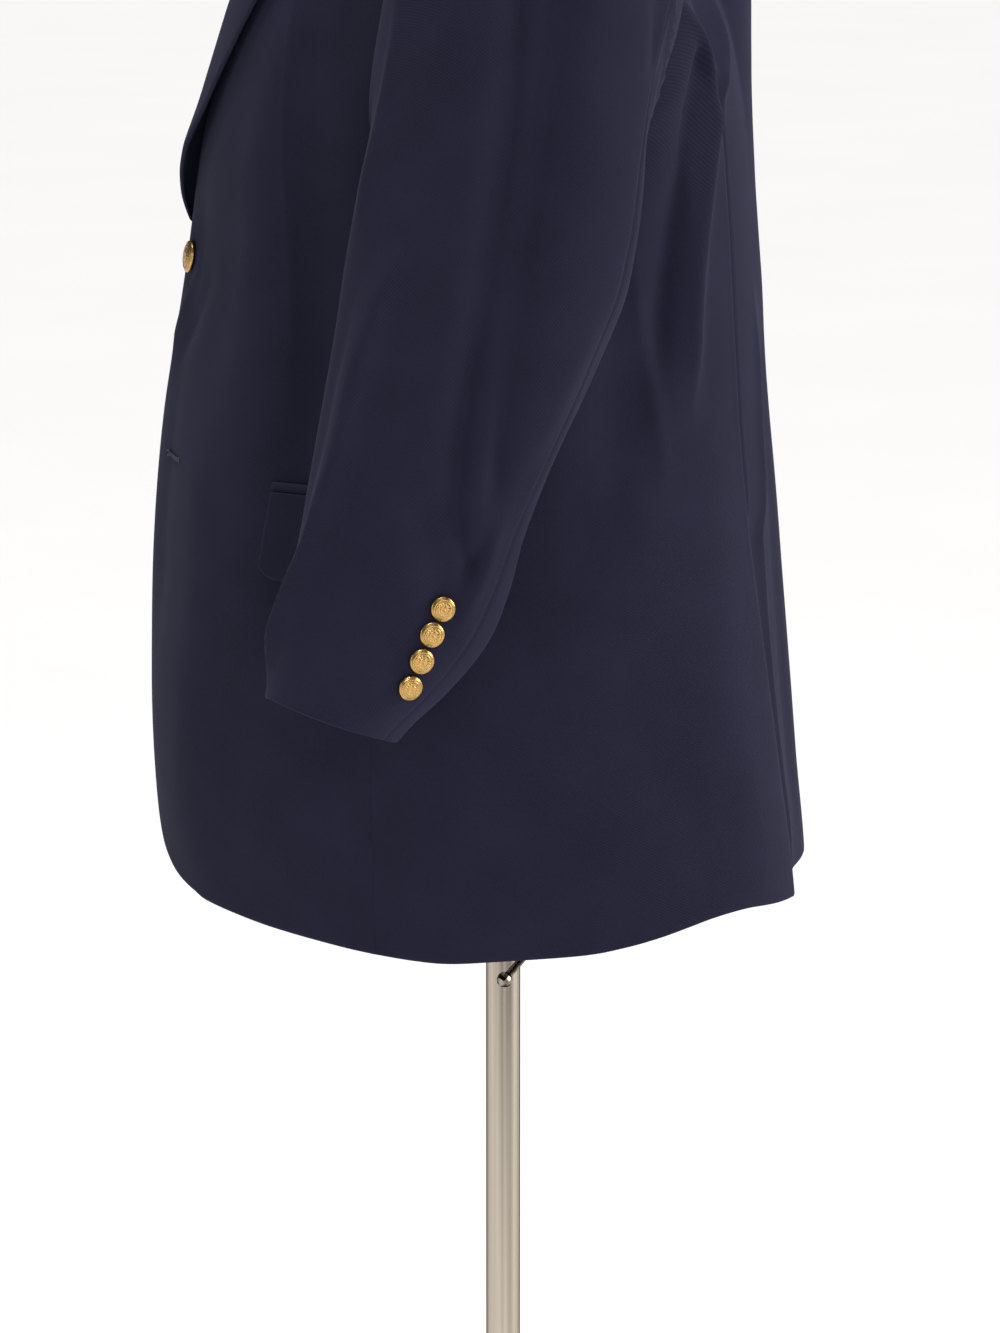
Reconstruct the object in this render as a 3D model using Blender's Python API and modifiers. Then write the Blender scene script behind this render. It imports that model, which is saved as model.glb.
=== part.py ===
"""Single-breasted two-button blazer standing on a limbless dress form with a round base.

Metres, +Z up. The floor is z = 0 and the pole is the Z axis. The wearer faces -Y and the
wearer's left is +X. Cloth pieces are walls through sections of the body and rings of the sleeve.
"""
import math
from collections import namedtuple

import bpy
import numpy as np
from mathutils import Vector

# Cloth
WALL = 0.0020
SEAM_GAP = 0.0004
YOKE_SEAM_GAP = 0.0008
LAY_GAP = 0.0004
YOKE_START = 1.150
SIDE_SEAM = 0.40
ARMHOLE_BACK = 0.66
ARMHOLE_BACK_HEIGHT = 1.300
BACK_HEM = 0.7335
LOWER_ROWS = 14
YOKE_ROWS = 8
FOLD_SCALE = 0.62

# Front closing
EDGE_OVERLAP = 0.020
TOP_BUTTON_HEIGHT = 1.102
BUTTON_SPACING = 0.127
ROLL_START = 1.118
ROLL_END = (0.080, 1.462)

# Side vents
VENT_INSET = 0.0052
VENT_UNDERLAP = 0.055
VENT_TOP = 0.969
VENT_OPEN = 0.939
VENT_FULL = 0.909

# Neck and shoulder points of the left half
NECK_POINT = (0.086, 0.014, 1.472)
SHOULDER_POINT = (0.228, 0.020, 1.424)
BACK_NECK = (0.0, 0.080, 1.480)
SHOULDER_ROUND = 0.30
SHOULDER_PITCH = 0.12
SHOULDER_DIRECTION = (0.28, 0.0, 0.96)

# Buttons
FRONT_BUTTON = 0.020
CUFF_BUTTON = 0.015
BUTTON_RISE = 0.0045
TOP_BUTTON_PLACE = 0.030
TOP_BUTTON_GAP = 0.0003
LOW_BUTTON_PLACE = 0.002

# Pockets
POCKET_TOP = 0.9815
POCKET_FRONT = 0.262
POCKET_BACK = 0.480
JET_HEIGHT = 0.0060
JET_WALL = 0.0012
FLAP_DEPTH = 0.052
FLAP_GAP = 0.0005
FLAP_LIFT = 0.0007

# Form and stand
TUBE_RADIUS = 0.0110
TUBE_BORE = 0.0099
MAST_RADIUS = 0.0094
TUBE_TOP = 0.6800
MAST_TOP = 0.8570
MAST_BOTTOM = 0.2400
FORM_BOTTOM = 0.8620
TOUCH = 0.0003
SOCKET_HEIGHT = 0.042
SOCKET_RADIUS = 0.045
BASE_RADIUS = 0.180
BASE_HEIGHT = 0.008
BOSS_HEIGHT = 0.028
BOSS_RADIUS = 0.022

# Clamp at the top of the tube, with its sliding bar
CLAMP_HEIGHT = 0.6680
CLAMP_HALF = 0.0120
CLAMP_RADIUS = 0.0165
CLAMP_AZIMUTH = 37.0
SCREW_LENGTH = 0.018
BAR_RADIUS = 0.0024
BALL_RADIUS = 0.0050
BAR_TILT = 39.0
BAR_LOWER = 0.035
BAR_UPPER = 0.022

Section = namedtuple("Section", "height front back half_width front_square back_square")
BODY = [
    Section(0.690, -0.2140, 0.1922, 0.2080, 2.10, 3.60),
    Section(0.750, -0.2185, 0.1876, 0.2070, 2.10, 3.50),
    Section(0.800, -0.2215, 0.1826, 0.2050, 2.10, 3.25),
    Section(0.860, -0.2222, 0.1778, 0.2020, 2.10, 2.85),
    Section(0.910, -0.2210, 0.1738, 0.1990, 2.10, 2.65),
    Section(0.960, -0.2175, 0.1698, 0.1960, 2.10, 2.50),
    Section(1.010, -0.2115, 0.1650, 0.1935, 2.10, 2.50),
    Section(1.060, -0.2025, 0.1608, 0.1915, 2.00, 2.55),
    Section(1.100, -0.1960, 0.1574, 0.1910, 1.95, 2.60),
    Section(1.160, -0.1875, 0.1540, 0.1930, 2.00, 2.60),
    Section(1.210, -0.1765, 0.1530, 0.1940, 2.15, 2.60),
    Section(1.260, -0.1635, 0.1528, 0.1930, 2.20, 2.60),
    Section(1.320, -0.1450, 0.1480, 0.1900, 2.20, 2.60),
]
MID_DEPTH = -0.010

# Front edge from the roll line down to the hem: height and distance from the centre line
FrontEdge = namedtuple("FrontEdge", "height across")
FRONT_EDGE = [
    FrontEdge(0.7185, 0.1080),
    FrontEdge(0.7230, 0.0850),
    FrontEdge(0.7310, 0.0620),
    FrontEdge(0.7440, 0.0420),
    FrontEdge(0.7700, 0.0200),
    FrontEdge(0.8100, 0.0040),
    FrontEdge(0.8700, -0.0100),
    FrontEdge(0.9500, -0.0175),
    FrontEdge(1.0300, -0.0195),
    FrontEdge(ROLL_START, -EDGE_OVERLAP),
]
CORNER_HEIGHT = 0.7440

Hem = namedtuple("Hem", "place height")
HEM = [
    Hem(0.10, 0.7210), Hem(0.15, 0.7180), Hem(0.25, 0.7130), Hem(0.33, 0.7083),
    Hem(0.40, 0.7030), Hem(0.48, 0.6998), Hem(0.54, 0.7055), Hem(0.60, 0.7142),
    Hem(0.66, 0.7225), Hem(0.72, 0.7262), Hem(0.80, 0.7240), Hem(0.90, 0.7200),
]

BackSeam = namedtuple("BackSeam", "height place")
BACK_SEAM = [
    BackSeam(0.690, 0.870), BackSeam(0.780, 0.856), BackSeam(0.850, 0.845), BackSeam(0.930, 0.830),
    BackSeam(1.000, 0.824), BackSeam(1.060, 0.824), BackSeam(1.150, 0.822), BackSeam(1.200, 0.806),
    BackSeam(1.250, 0.762), BackSeam(ARMHOLE_BACK_HEIGHT, ARMHOLE_BACK),
]

# Soft folds of the body: a line from top to bottom, its half-width and its depth (out is positive)
Fold = namedtuple("Fold", "top_place top_height low_place low_height half_width depth")
BODY_FOLDS = [
    Fold(0.205, 1.260, 0.215, 1.040, 0.020, 0.0020),
    Fold(0.300, 1.230, 0.330, 0.900, 0.028, -0.0035),
    Fold(0.770, 1.270, 0.700, 1.030, 0.022, 0.0035),
    Fold(0.640, 1.150, 0.600, 0.960, 0.022, -0.0030),
    Fold(0.950, 1.150, 0.955, 0.780, 0.018, 0.0022),
    Fold(0.470, 0.900, 0.480, 0.720, 0.030, 0.0035),
    Fold(0.640, 0.880, 0.650, 0.740, 0.030, -0.0030),
]

# Armhole above the panels' own edges, from the shoulder point forwards and round
ArmPoint = namedtuple("ArmPoint", "turn x y z")
ARMHOLE_FRONT = [
    ArmPoint(0.07, 0.2225, -0.0140, 1.4080),
    ArmPoint(0.15, 0.2050, -0.0420, 1.3480),
    ArmPoint(0.24, 0.1920, -0.0560, 1.2700),
]
ARMHOLE_BACK_POINTS = [
    ArmPoint(0.84, 0.1915, 0.0880, 1.3580),
    ArmPoint(0.92, 0.2165, 0.0590, 1.4090),
]
ArmEdge = namedtuple("ArmEdge", "turn place height")
ARMHOLE_LOW = [
    ArmEdge(0.33, SIDE_SEAM, 1.203), ArmEdge(0.42, 0.450, 1.190), ArmEdge(0.50, 0.500, 1.186),
    ArmEdge(0.58, 0.555, 1.195), ArmEdge(0.68, 0.615, 1.237),
    ArmEdge(0.76, ARMHOLE_BACK, ARMHOLE_BACK_HEIGHT),
]

# Rings of the left sleeve below the armhole: front and back edge, centre and half thickness
Ring = namedtuple("Ring", "length front_y front_z back_y back_z centre_x half_thick")
SLEEVE = [
    Ring(0.000, -0.0835, 1.1720, 0.0776, 1.1460, 0.2480, 0.0430),
    Ring(0.042, -0.0905, 1.1320, 0.0700, 1.1060, 0.2495, 0.0420),
    Ring(0.085, -0.0968, 1.0900, 0.0540, 1.0620, 0.2500, 0.0410),
    Ring(0.130, -0.1045, 1.0480, 0.0350, 1.0180, 0.2500, 0.0400),
    Ring(0.172, -0.1125, 1.0060, 0.0172, 0.9750, 0.2505, 0.0390),
    Ring(0.212, -0.1195, 0.9680, 0.0042, 0.9360, 0.2520, 0.0385),
    Ring(0.244, -0.1265, 0.9380, -0.0110, 0.9040, 0.2545, 0.0395),
    Ring(0.274, -0.1325, 0.9080, -0.0355, 0.8755, 0.2570, 0.0420),
    Ring(0.296, -0.1372, 0.8880, -0.0545, 0.8580, 0.2590, 0.0440),
    Ring(0.310, -0.1397, 0.8745, -0.0636, 0.8474, 0.2600, 0.0450),
]
SLEEVE_START_GAP = 0.0016
SLEEVE_HEAD_LENGTH = 0.14
SLEEVE_FRONT_SEAM = 0.33
SLEEVE_BACK_SEAM_TOP = 0.800
SLEEVE_BACK_SEAM_CUFF = 0.862
SLEEVE_HEAD_ROWS = 8
SLEEVE_ROWS = 13
SleeveFold = namedtuple("SleeveFold", "top_turn top_length low_turn low_length half_width depth")
SLEEVE_FOLDS = [
    SleeveFold(-0.015, -0.120, -0.015, 0.170, 0.045, -0.0040),
    SleeveFold(-0.015, 0.170, -0.095, 0.240, 0.035, -0.0045),
    SleeveFold(0.140, 0.060, 0.150, 0.250, 0.030, 0.0030),
    SleeveFold(0.780, 0.060, 0.740, 0.200, 0.040, -0.0035),
    SleeveFold(0.560, 0.020, 0.520, 0.180, 0.045, -0.0035),
]

# Cuff buttons, from the cuff's edge upwards; the lift puts each on the sleeve's facets
CuffButton = namedtuple("CuffButton", "turn length lift")
CUFF_BUTTONS = [
    CuffButton(-0.0876, 0.2683, 0.0001), CuffButton(-0.0760, 0.2536, -0.0011),
    CuffButton(-0.0712, 0.2390, 0.0004), CuffButton(-0.0740, 0.2242, 0.0031),
]

# Lapel: its width and how far its free edge stands off the front
Lapel = namedtuple("Lapel", "height width stand_off")
LAPEL = [
    Lapel(1.119, 0.004, 0.0030), Lapel(1.140, 0.014, 0.0070), Lapel(1.165, 0.029, 0.0095),
    Lapel(1.200, 0.047, 0.0065), Lapel(1.250, 0.066, 0.0045), Lapel(1.310, 0.080, 0.0040),
    Lapel(1.360, 0.088, 0.0035), Lapel(1.402, 0.088, 0.0035),
]
GORGE = 0.045
NOTCH_DROP = 0.022
NOTCH_START = 1.330
LAPEL_ROWS = 13
UNDER_LAPEL_START = 1.158
LAPEL_COLUMNS = 4

# Collar sections from its left front end to the centre back: foot of the stand, crest, fall edge
Collar = namedtuple("Collar", "along foot crest edge")
COLLAR = [
    Collar(0.00, (0.0585, -0.0795, 1.4045), (0.0630, -0.0812, 1.4085), (0.1048, -0.0741, 1.3908)),
    Collar(0.20, (0.0680, -0.0430, 1.4410), (0.0705, -0.0480, 1.4560), (0.1118, -0.0463, 1.4279)),
    Collar(0.40, (0.0790, -0.0080, 1.4660), (0.0765, -0.0090, 1.4860), (0.1113, -0.0074, 1.4622)),
    Collar(0.60, (0.0790, 0.0330, 1.4790), (0.0750, 0.0300, 1.5050), (0.1051, 0.0431, 1.4653)),
    Collar(0.80, (0.0500, 0.0660, 1.4830), (0.0470, 0.0610, 1.5120), (0.0674, 0.0912, 1.4678)),
    Collar(1.00, (0.0000, 0.0760, 1.4850), (0.0000, 0.0710, 1.5140), (0.0000, 0.1060, 1.4670)),
]
COLLAR_COLUMNS = 13
COLLAR_WALL = 0.0026

# Dress form, from its base to the top of the neck
FormRing = namedtuple("FormRing", "height front back half_width square")
FORM = [
    FormRing(0.862, -0.118, 0.112, 0.150, 2.3), FormRing(0.868, -0.126, 0.120, 0.158, 2.3),
    FormRing(0.920, -0.128, 0.124, 0.162, 2.3), FormRing(0.990, -0.116, 0.112, 0.152, 2.3),
    FormRing(1.060, -0.108, 0.100, 0.142, 2.3), FormRing(1.120, -0.114, 0.106, 0.150, 2.3),
    FormRing(1.190, -0.124, 0.114, 0.162, 2.3), FormRing(1.250, -0.122, 0.114, 0.167, 2.3),
    FormRing(1.310, -0.098, 0.104, 0.171, 2.3), FormRing(1.360, -0.068, 0.088, 0.174, 2.2),
    FormRing(1.395, -0.044, 0.070, 0.172, 2.1), FormRing(1.420, -0.029, 0.058, 0.164, 2.0),
    FormRing(1.4422, -0.024, 0.054, 0.143, 2.0), FormRing(1.4588, -0.025, 0.053, 0.1065, 2.0),
    FormRing(1.4675, -0.030, 0.053, 0.0760, 2.0), FormRing(1.480, -0.040, 0.053, 0.065, 2.0),
    FormRing(1.520, -0.046, 0.052, 0.060, 2.0), FormRing(1.565, -0.050, 0.050, 0.059, 2.0),
    FormRing(1.570, -0.046, 0.046, 0.055, 2.0),
]
FORM_SIDES = 28


def clear_scene():
    for item in list(bpy.data.objects):
        bpy.data.objects.remove(item, do_unlink=True)


def make_material(name, colour, roughness, metallic=0.0):
    material = bpy.data.materials.new(name)
    material.use_nodes = True
    shader = material.node_tree.nodes["Principled BSDF"]
    shader.inputs["Base Color"].default_value = (*colour, 1.0)
    shader.inputs["Roughness"].default_value = roughness
    shader.inputs["Metallic"].default_value = metallic
    return material


def smooth_curve(keys, values):
    """Return a function that passes smoothly through the values at the keys."""
    keys = np.asarray(keys, float)
    values = np.asarray(values, float)
    slopes = np.gradient(values, keys, axis=0)

    def at(key):
        key = min(max(key, keys[0]), keys[-1])
        i = min(int(np.searchsorted(keys, key, side="right")) - 1, len(keys) - 2)
        step = keys[i + 1] - keys[i]
        t = (key - keys[i]) / step
        start = (2 * t ** 3 - 3 * t ** 2 + 1) * values[i] + (t ** 3 - 2 * t ** 2 + t) * step * slopes[i]
        end = (3 * t ** 2 - 2 * t ** 3) * values[i + 1] + (t ** 3 - t ** 2) * step * slopes[i + 1]
        return start + end

    return at


def table_curve(rows):
    """Smooth curve through a table whose first column is the key."""
    return smooth_curve([row[0] for row in rows], [list(row[1:]) for row in rows])


def ease(low, high, value):
    t = min(max((value - low) / (high - low), 0.0), 1.0)
    return t * t * (3 - 2 * t)


def unit(vector):
    return vector / np.linalg.norm(vector)


body_section = table_curve(BODY)
front_edge = table_curve(FRONT_EDGE)
hem_height = table_curve(HEM)
back_seam = table_curve(BACK_SEAM)
lapel_size = table_curve(LAPEL)
sleeve_ring = table_curve(SLEEVE)
form_ring = table_curve(FORM)
collar_section = smooth_curve(
    [row.along for row in COLLAR], [[row.foot, row.crest, row.edge] for row in COLLAR])


def line_fold(place, height, fold, scale):
    """Height of one soft fold at a place, fading at both ends of its line."""
    top, low = fold[1], fold[3]
    t = (top - height) / (top - low)
    if t < -0.25 or t > 1.25:
        return 0.0
    middle = fold[0] + (fold[2] - fold[0]) * t
    fade = ease(-0.25, 0.15, t) * (1 - ease(0.85, 1.25, t))
    return fold[5] * fade * math.exp(-((place - middle) * scale / fold[4]) ** 2)


def section_point(place, height):
    """Point of the left half's section: place runs from 0, centre front, to 1, centre back."""
    front, back, half_width, front_square, back_square = body_section(height)
    angle = math.pi * place
    square, reach = (front_square, front) if place < 0.5 else (back_square, back)
    across = half_width * math.copysign(abs(math.sin(angle)) ** (2 / square), math.sin(angle))
    depth = MID_DEPTH + (reach - MID_DEPTH) * abs(math.cos(angle)) ** (2 / square)
    return np.array([across, depth, height])


def place_of(across, height):
    """Place on the front of the section that lies this far from the centre line."""
    _, _, half_width, front_square, _ = body_section(height)
    ratio = min(abs(across) / half_width, 1.0) ** (front_square / 2)
    return math.copysign(math.asin(ratio) / math.pi, across)


def section_normal(place, height):
    step = 0.004
    along = section_point(place + step, height) - section_point(place - step, height)
    up = section_point(place, height + step) - section_point(place, height - step)
    return unit(np.cross(along, up))


def torso_point(place, height, lift=0.0):
    """Point of the cloth's outer face with its folds, moved out by the lift."""
    folds = sum(line_fold(place, height, fold, FOLD_SCALE) for fold in BODY_FOLDS)
    return section_point(place, height) + section_normal(place, height) * (folds + lift)


def along_points(points):
    """Return a function from 0..1 to the points of a polyline, by its length."""
    points = np.asarray(points, float)
    steps = np.linalg.norm(np.diff(points, axis=0), axis=1)
    lengths = np.concatenate([[0.0], np.cumsum(steps)]) / steps.sum()

    def at(t):
        return np.array([np.interp(t, lengths, points[:, i]) for i in range(points.shape[1])])

    return at


def patch_point(u, v, left, right, low, high, blend=lambda t: t):
    """Point of the patch between four edges, each a function from 0..1."""
    a, b = blend(u), blend(v)
    sides = (1 - a) * left(v) + a * right(v)
    ends = (1 - b) * low(u) + b * high(u)
    corners = (1 - b) * ((1 - a) * low(0) + a * low(1)) + b * ((1 - a) * high(0) + a * high(1))
    return sides + ends - corners


def soft_step(t):
    return t * t * (3 - 2 * t)


def armhole_curve():
    """Left armhole as a closed curve: turn 0 at the shoulder point, then front, under and back."""
    rows = [(0.0, np.array(SHOULDER_POINT))]
    rows += [(p.turn, np.array([p.x, p.y, p.z])) for p in ARMHOLE_FRONT]
    rows += [(p.turn, torso_point(p.place, p.height)) for p in ARMHOLE_LOW]
    rows += [(p.turn, np.array([p.x, p.y, p.z])) for p in ARMHOLE_BACK_POINTS]
    turns = [t - 1 for t, _ in rows[-3:]] + [t for t, _ in rows] + [t + 1 for t, _ in rows[:3]]
    points = [p for _, p in rows[-3:]] + [p for _, p in rows] + [p for _, p in rows[:3]]
    return smooth_curve(turns, points)


armhole = armhole_curve()


def front_corner_boundary():
    """Lower front's edges as places and heights: left from the corner up, low along the hem."""
    heights = np.linspace(CORNER_HEIGHT, ROLL_START, 40)
    left = [(place_of(front_edge(z)[0], z), z) for z in heights]
    left += [(place_of(roll_across(z), z), z) for z in np.linspace(ROLL_START, YOKE_START, 6)[1:]]
    corner = np.linspace(CORNER_HEIGHT, FRONT_EDGE[0].height, 14)
    low = [(place_of(front_edge(z)[0], z), z) for z in corner]
    low += [(s, float(hem_height(s)[0])) for s in np.linspace(low[-1][0] + 0.01, SIDE_SEAM, 20)]
    return along_points(left), along_points(low)


def roll_across(height):
    """Distance of the roll line from the centre line."""
    t = (height - ROLL_START) / (ROLL_END[1] - ROLL_START)
    return -EDGE_OVERLAP + (ROLL_END[0] + EDGE_OVERLAP) * t


def roll_curve():
    """Roll line from the start of the yoke to the neck point."""
    heights = np.linspace(YOKE_START, 1.300, 8)
    points = [section_point(place_of(roll_across(z), z), z) for z in heights]
    last = points[-1]
    neck = np.array(NECK_POINT)
    bend = np.array([0.0640, -0.0820, 1.4200])
    for t in np.linspace(0, 1, 9)[1:]:
        points.append((1 - t) ** 2 * last + 2 * t * (1 - t) * bend + t * t * neck)
    return along_points(points)


def seam_points(place_at, low, high, count):
    return [torso_point(place_at(z), z) for z in np.linspace(low, high, count)]


def joined(first, second, share):
    """Two curves end to end: the first takes this share of 0..1."""
    return lambda t: first(t / share) if t <= share else second((t - share) / (1 - share))


def side_seam_top():
    """Side seam between the yoke start and the armhole."""
    return along_points(seam_points(lambda z: SIDE_SEAM, YOKE_START, ARMHOLE_LOW[0].height, 5))


def back_seam_top():
    """Back seam between the yoke start and the armhole."""
    return along_points(seam_points(lambda z: float(back_seam(z)[0]), YOKE_START, ARMHOLE_BACK_HEIGHT, 24))


def side_seam_to_shoulder():
    """Front's back edge above the yoke start: side seam, then armhole up to the shoulder point."""
    arm = along_points([armhole(t) for t in np.linspace(ARMHOLE_LOW[0].turn, 0, 24)])
    return joined(side_seam_top(), arm, 0.25)


def back_seam_to_shoulder():
    """Back's outer edge above the yoke start: back seam, then armhole up to the shoulder point."""
    arm = along_points([armhole(t) for t in np.linspace(ARMHOLE_LOW[-1].turn, 1, 20)])
    return joined(back_seam_top(), arm, 0.5)


def shoulder_seam():
    """Shoulder seam from the neck point to the shoulder point, slightly hollow."""
    neck, end = np.array(NECK_POINT), np.array(SHOULDER_POINT)
    points = [neck + (end - neck) * t - np.array([0, 0, 0.004]) * math.sin(math.pi * t)
              for t in np.linspace(0, 1, 9)]
    return along_points(points)


def centre_back():
    """Centre back line from the yoke start to the back neck."""
    mid = section_point(1.0, 1.290)
    neck = np.array(BACK_NECK)
    bend = np.array([0.0, 0.1370, 1.4350])
    points = [section_point(1.0, z) for z in np.linspace(YOKE_START, 1.290, 6)]
    points += [(1 - t) ** 2 * mid + 2 * t * (1 - t) * bend + t * t * neck
               for t in np.linspace(0, 1, 10)[1:]]
    return along_points(points)


def back_top():
    """Back's top edge from the centre back: neckline, then the shoulder seam."""
    neck = np.array(BACK_NECK)
    side = np.array(NECK_POINT)
    bend = np.array([0.070, 0.076, 1.482])
    points = [(1 - t) ** 2 * neck + 2 * t * (1 - t) * bend + t * t * side for t in np.linspace(0, 1, 9)]
    seam = shoulder_seam()
    points += [seam(t) for t in np.linspace(0, 1, 9)[1:]]
    return along_points(points)


front_left_edge, front_low_edge = front_corner_boundary()
roll_line = roll_curve()
front_outer_edge = side_seam_to_shoulder()
shoulder_line = shoulder_seam()
back_outer_edge = back_seam_to_shoulder()
centre_back_line = centre_back()
back_top_edge = back_top()
side_seam_line = side_seam_top()
back_seam_line = back_seam_top()
under_arm_edge = along_points(
    [armhole(t) for t in np.linspace(ARMHOLE_LOW[0].turn, ARMHOLE_LOW[-1].turn, 24)])


def under_lap(across, height):
    """How far the right front is moved in under the left one."""
    depth = 0.0034 + 0.0066 * (1 - ease(0.985, 1.070, height))
    return -depth * (1 - ease(0.026, 0.075, across)) * (1 - ease(1.20, 1.26, height))


def front_place(u, v):
    """Place and height of the lower front."""
    roll_place = place_of(roll_across(YOKE_START), YOKE_START)
    return patch_point(
        u, v,
        front_left_edge,
        lambda t: np.array([SIDE_SEAM, hem_height(SIDE_SEAM)[0] * (1 - t) + YOKE_START * t]),
        front_low_edge,
        lambda t: np.array([roll_place + (SIDE_SEAM - roll_place) * t, YOKE_START]))


def over_shoulder(patch, u, v, way):
    """Point of a yoke patch, turned over the shoulder so that front and back meet in one slope."""
    point = patch(u, v)
    start = 1 - SHOULDER_ROUND
    if v <= start:
        return point
    step = 0.01
    slope = (patch(u, 1.0) - patch(u, 1.0 - step)) / step
    level = unit(np.array([slope[0] * 0.5, way * abs(slope[1]), abs(slope[1]) * SHOULDER_PITCH]))
    turn = level * np.linalg.norm(slope) - slope
    t = (v - start) / SHOULDER_ROUND
    return point + turn * SHOULDER_ROUND * (t ** 3 - t ** 2)


def front_base(u, v, under=False):
    """Front panel: u from the front edge to the side seam, v 0..1 below and 1..2 above the yoke."""
    if v <= 1:
        place, height = front_place(u, v)
        lift = under_lap(section_point(place, height)[0], height) if under else 0.0
        return torso_point(place, height, lift)
    point = over_shoulder(front_yoke, u, v - 1, 1)
    if under:
        point = point + np.array([0, -1, 0]) * under_lap(point[0], point[2])
    return point


def back_inset(place, height):
    """How far the back skirt is moved in beside its vent edge."""
    opened = 1 - ease(VENT_OPEN, VENT_TOP, height)
    return -VENT_INSET * opened * (1 - ease(0.025, 0.110, place - float(back_seam(height)[0])))


def back_base(u, v):
    """Back panel: u from the centre back to its outer edge, v as on the front."""
    if v <= 1:
        height = BACK_HEM + (YOKE_START - BACK_HEM) * v
        outer = float(back_seam(height)[0]) - VENT_UNDERLAP * (1 - ease(VENT_FULL, VENT_OPEN, height))
        place = 1 + (outer - 1) * u
        return torso_point(place, height, back_inset(place, height))
    return over_shoulder(back_yoke, u, v - 1, -1)


def front_yoke(u, v):
    roll_place = place_of(roll_across(YOKE_START), YOKE_START)
    return patch_point(
        u, v, roll_line, front_outer_edge,
        lambda t: torso_point(roll_place + (SIDE_SEAM - roll_place) * t, YOKE_START),
        shoulder_line, soft_step)


def back_yoke(u, v):
    seam = float(back_seam(YOKE_START)[0])
    return patch_point(
        u, v, centre_back_line, back_outer_edge,
        lambda t: torso_point(1 + (seam - 1) * t, YOKE_START),
        back_top_edge, soft_step)


def side_base(u, v):
    """Side body: u from the side seam to the back seam, v as on the front."""
    if v <= 1:
        seam = float(back_seam(0.72)[0])
        low = hem_height(SIDE_SEAM + (seam - SIDE_SEAM) * u)[0]
        height = low + (YOKE_START - low) * v
        outer = float(back_seam(height)[0])
        return torso_point(SIDE_SEAM + (outer - SIDE_SEAM) * u, height)
    outer = float(back_seam(YOKE_START)[0])
    return patch_point(
        u, v - 1, side_seam_line, back_seam_line,
        lambda t: torso_point(SIDE_SEAM + (outer - SIDE_SEAM) * t, YOKE_START),
        under_arm_edge, soft_step)


def sleeve_axis_ring(length, turn):
    """Point of the sleeve ring at this length: turn 0 outside, 0.25 front, 0.5 inside, 0.75 back."""
    front_y, front_z, back_y, back_z, centre_x, half_thick = sleeve_ring(length)
    centre = np.array([centre_x, (front_y + back_y) / 2, (front_z + back_z) / 2])
    forward = np.array([0, (front_y - back_y) / 2, (front_z - back_z) / 2])
    out = np.array([half_thick, 0, 0])
    angle = 2 * math.pi * turn
    return centre + out * math.cos(angle) + forward * math.sin(angle)


def sleeve_base(turn, length):
    """Left sleeve's face: length is negative from the armhole, -1, to the first ring, 0."""
    if length >= 0:
        return sleeve_axis_ring(length, turn)
    t = 1 + length
    start = armhole(turn % 1.0) + np.array([SLEEVE_START_GAP, 0, 0])
    end = sleeve_axis_ring(0.0, turn)
    down = sleeve_axis_ring(0.02, turn) - end
    low = 0.5 - 0.5 * math.cos(2 * math.pi * turn)
    radial = np.array([0, -math.sin(2 * math.pi * turn), math.cos(2 * math.pi * turn)])
    leave = unit(np.array([0.95 - 0.55 * low, 0, 0]) + radial * (0.02 + 0.50 * low))
    reach = np.linalg.norm(end - start)
    start_pull = leave * reach * 1.1
    end_pull = unit(down) * reach * 1.2
    sweep = math.sin(2 * math.pi * turn)
    fullness = (0.24 - 0.085 * sweep) * sweep ** 2 * t * (1 - t) ** 2 * (0.56 - t)
    return ((2 * t ** 3 - 3 * t ** 2 + 1) * start + (t ** 3 - 2 * t ** 2 + t) * start_pull
            + (3 * t ** 2 - 2 * t ** 3) * end + (t ** 3 - t ** 2) * end_pull + radial * fullness)


def sleeve_point(turn, length, lift=0.0):
    step = 0.01
    low = min(length + step, SLEEVE[-1].length)
    high = low - 2 * step
    across = sleeve_base(turn + step, length) - sleeve_base(turn - step, length)
    down = sleeve_base(turn, low) - sleeve_base(turn, high)
    normal = unit(np.cross(across, down))
    metres = length if length >= 0 else length * SLEEVE_HEAD_LENGTH
    folds = 0.0
    for fold in SLEEVE_FOLDS:
        shift = round(turn - fold.top_turn)
        folds += line_fold(turn - shift, -metres, fold._replace(
            top_length=-fold.top_length, low_length=-fold.low_length), 1.0)
    return sleeve_base(turn, length) + normal * (folds * ease(-1, -0.6, length) + lift)


def sleeve_lengths():
    head = list(np.linspace(-1, 0, SLEEVE_HEAD_ROWS + 1))[:-1]
    return head + list(np.linspace(0, SLEEVE[-1].length, SLEEVE_ROWS + 1))


def back_seam_turn(length):
    metres = max(length, 0) / SLEEVE[-1].length
    return SLEEVE_BACK_SEAM_TOP + (SLEEVE_BACK_SEAM_CUFF - SLEEVE_BACK_SEAM_TOP) * metres


def grid_normals(grid):
    """Outward direction at each point of a grid."""
    across = np.gradient(grid, axis=1)
    along = np.gradient(grid, axis=0)
    normals = np.cross(across, along)
    return normals / np.linalg.norm(normals, axis=2)[:, :, None]


def seam_directions(points):
    """Outward direction that both pieces share at the body's upright seams."""
    out = []
    for x, y, z in points:
        _, back, half_width, _, _ = body_section(z)
        out.append(unit(np.array([x / half_width ** 2, (y - MID_DEPTH) / back ** 2, 0])))
    return np.array(out)


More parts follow.
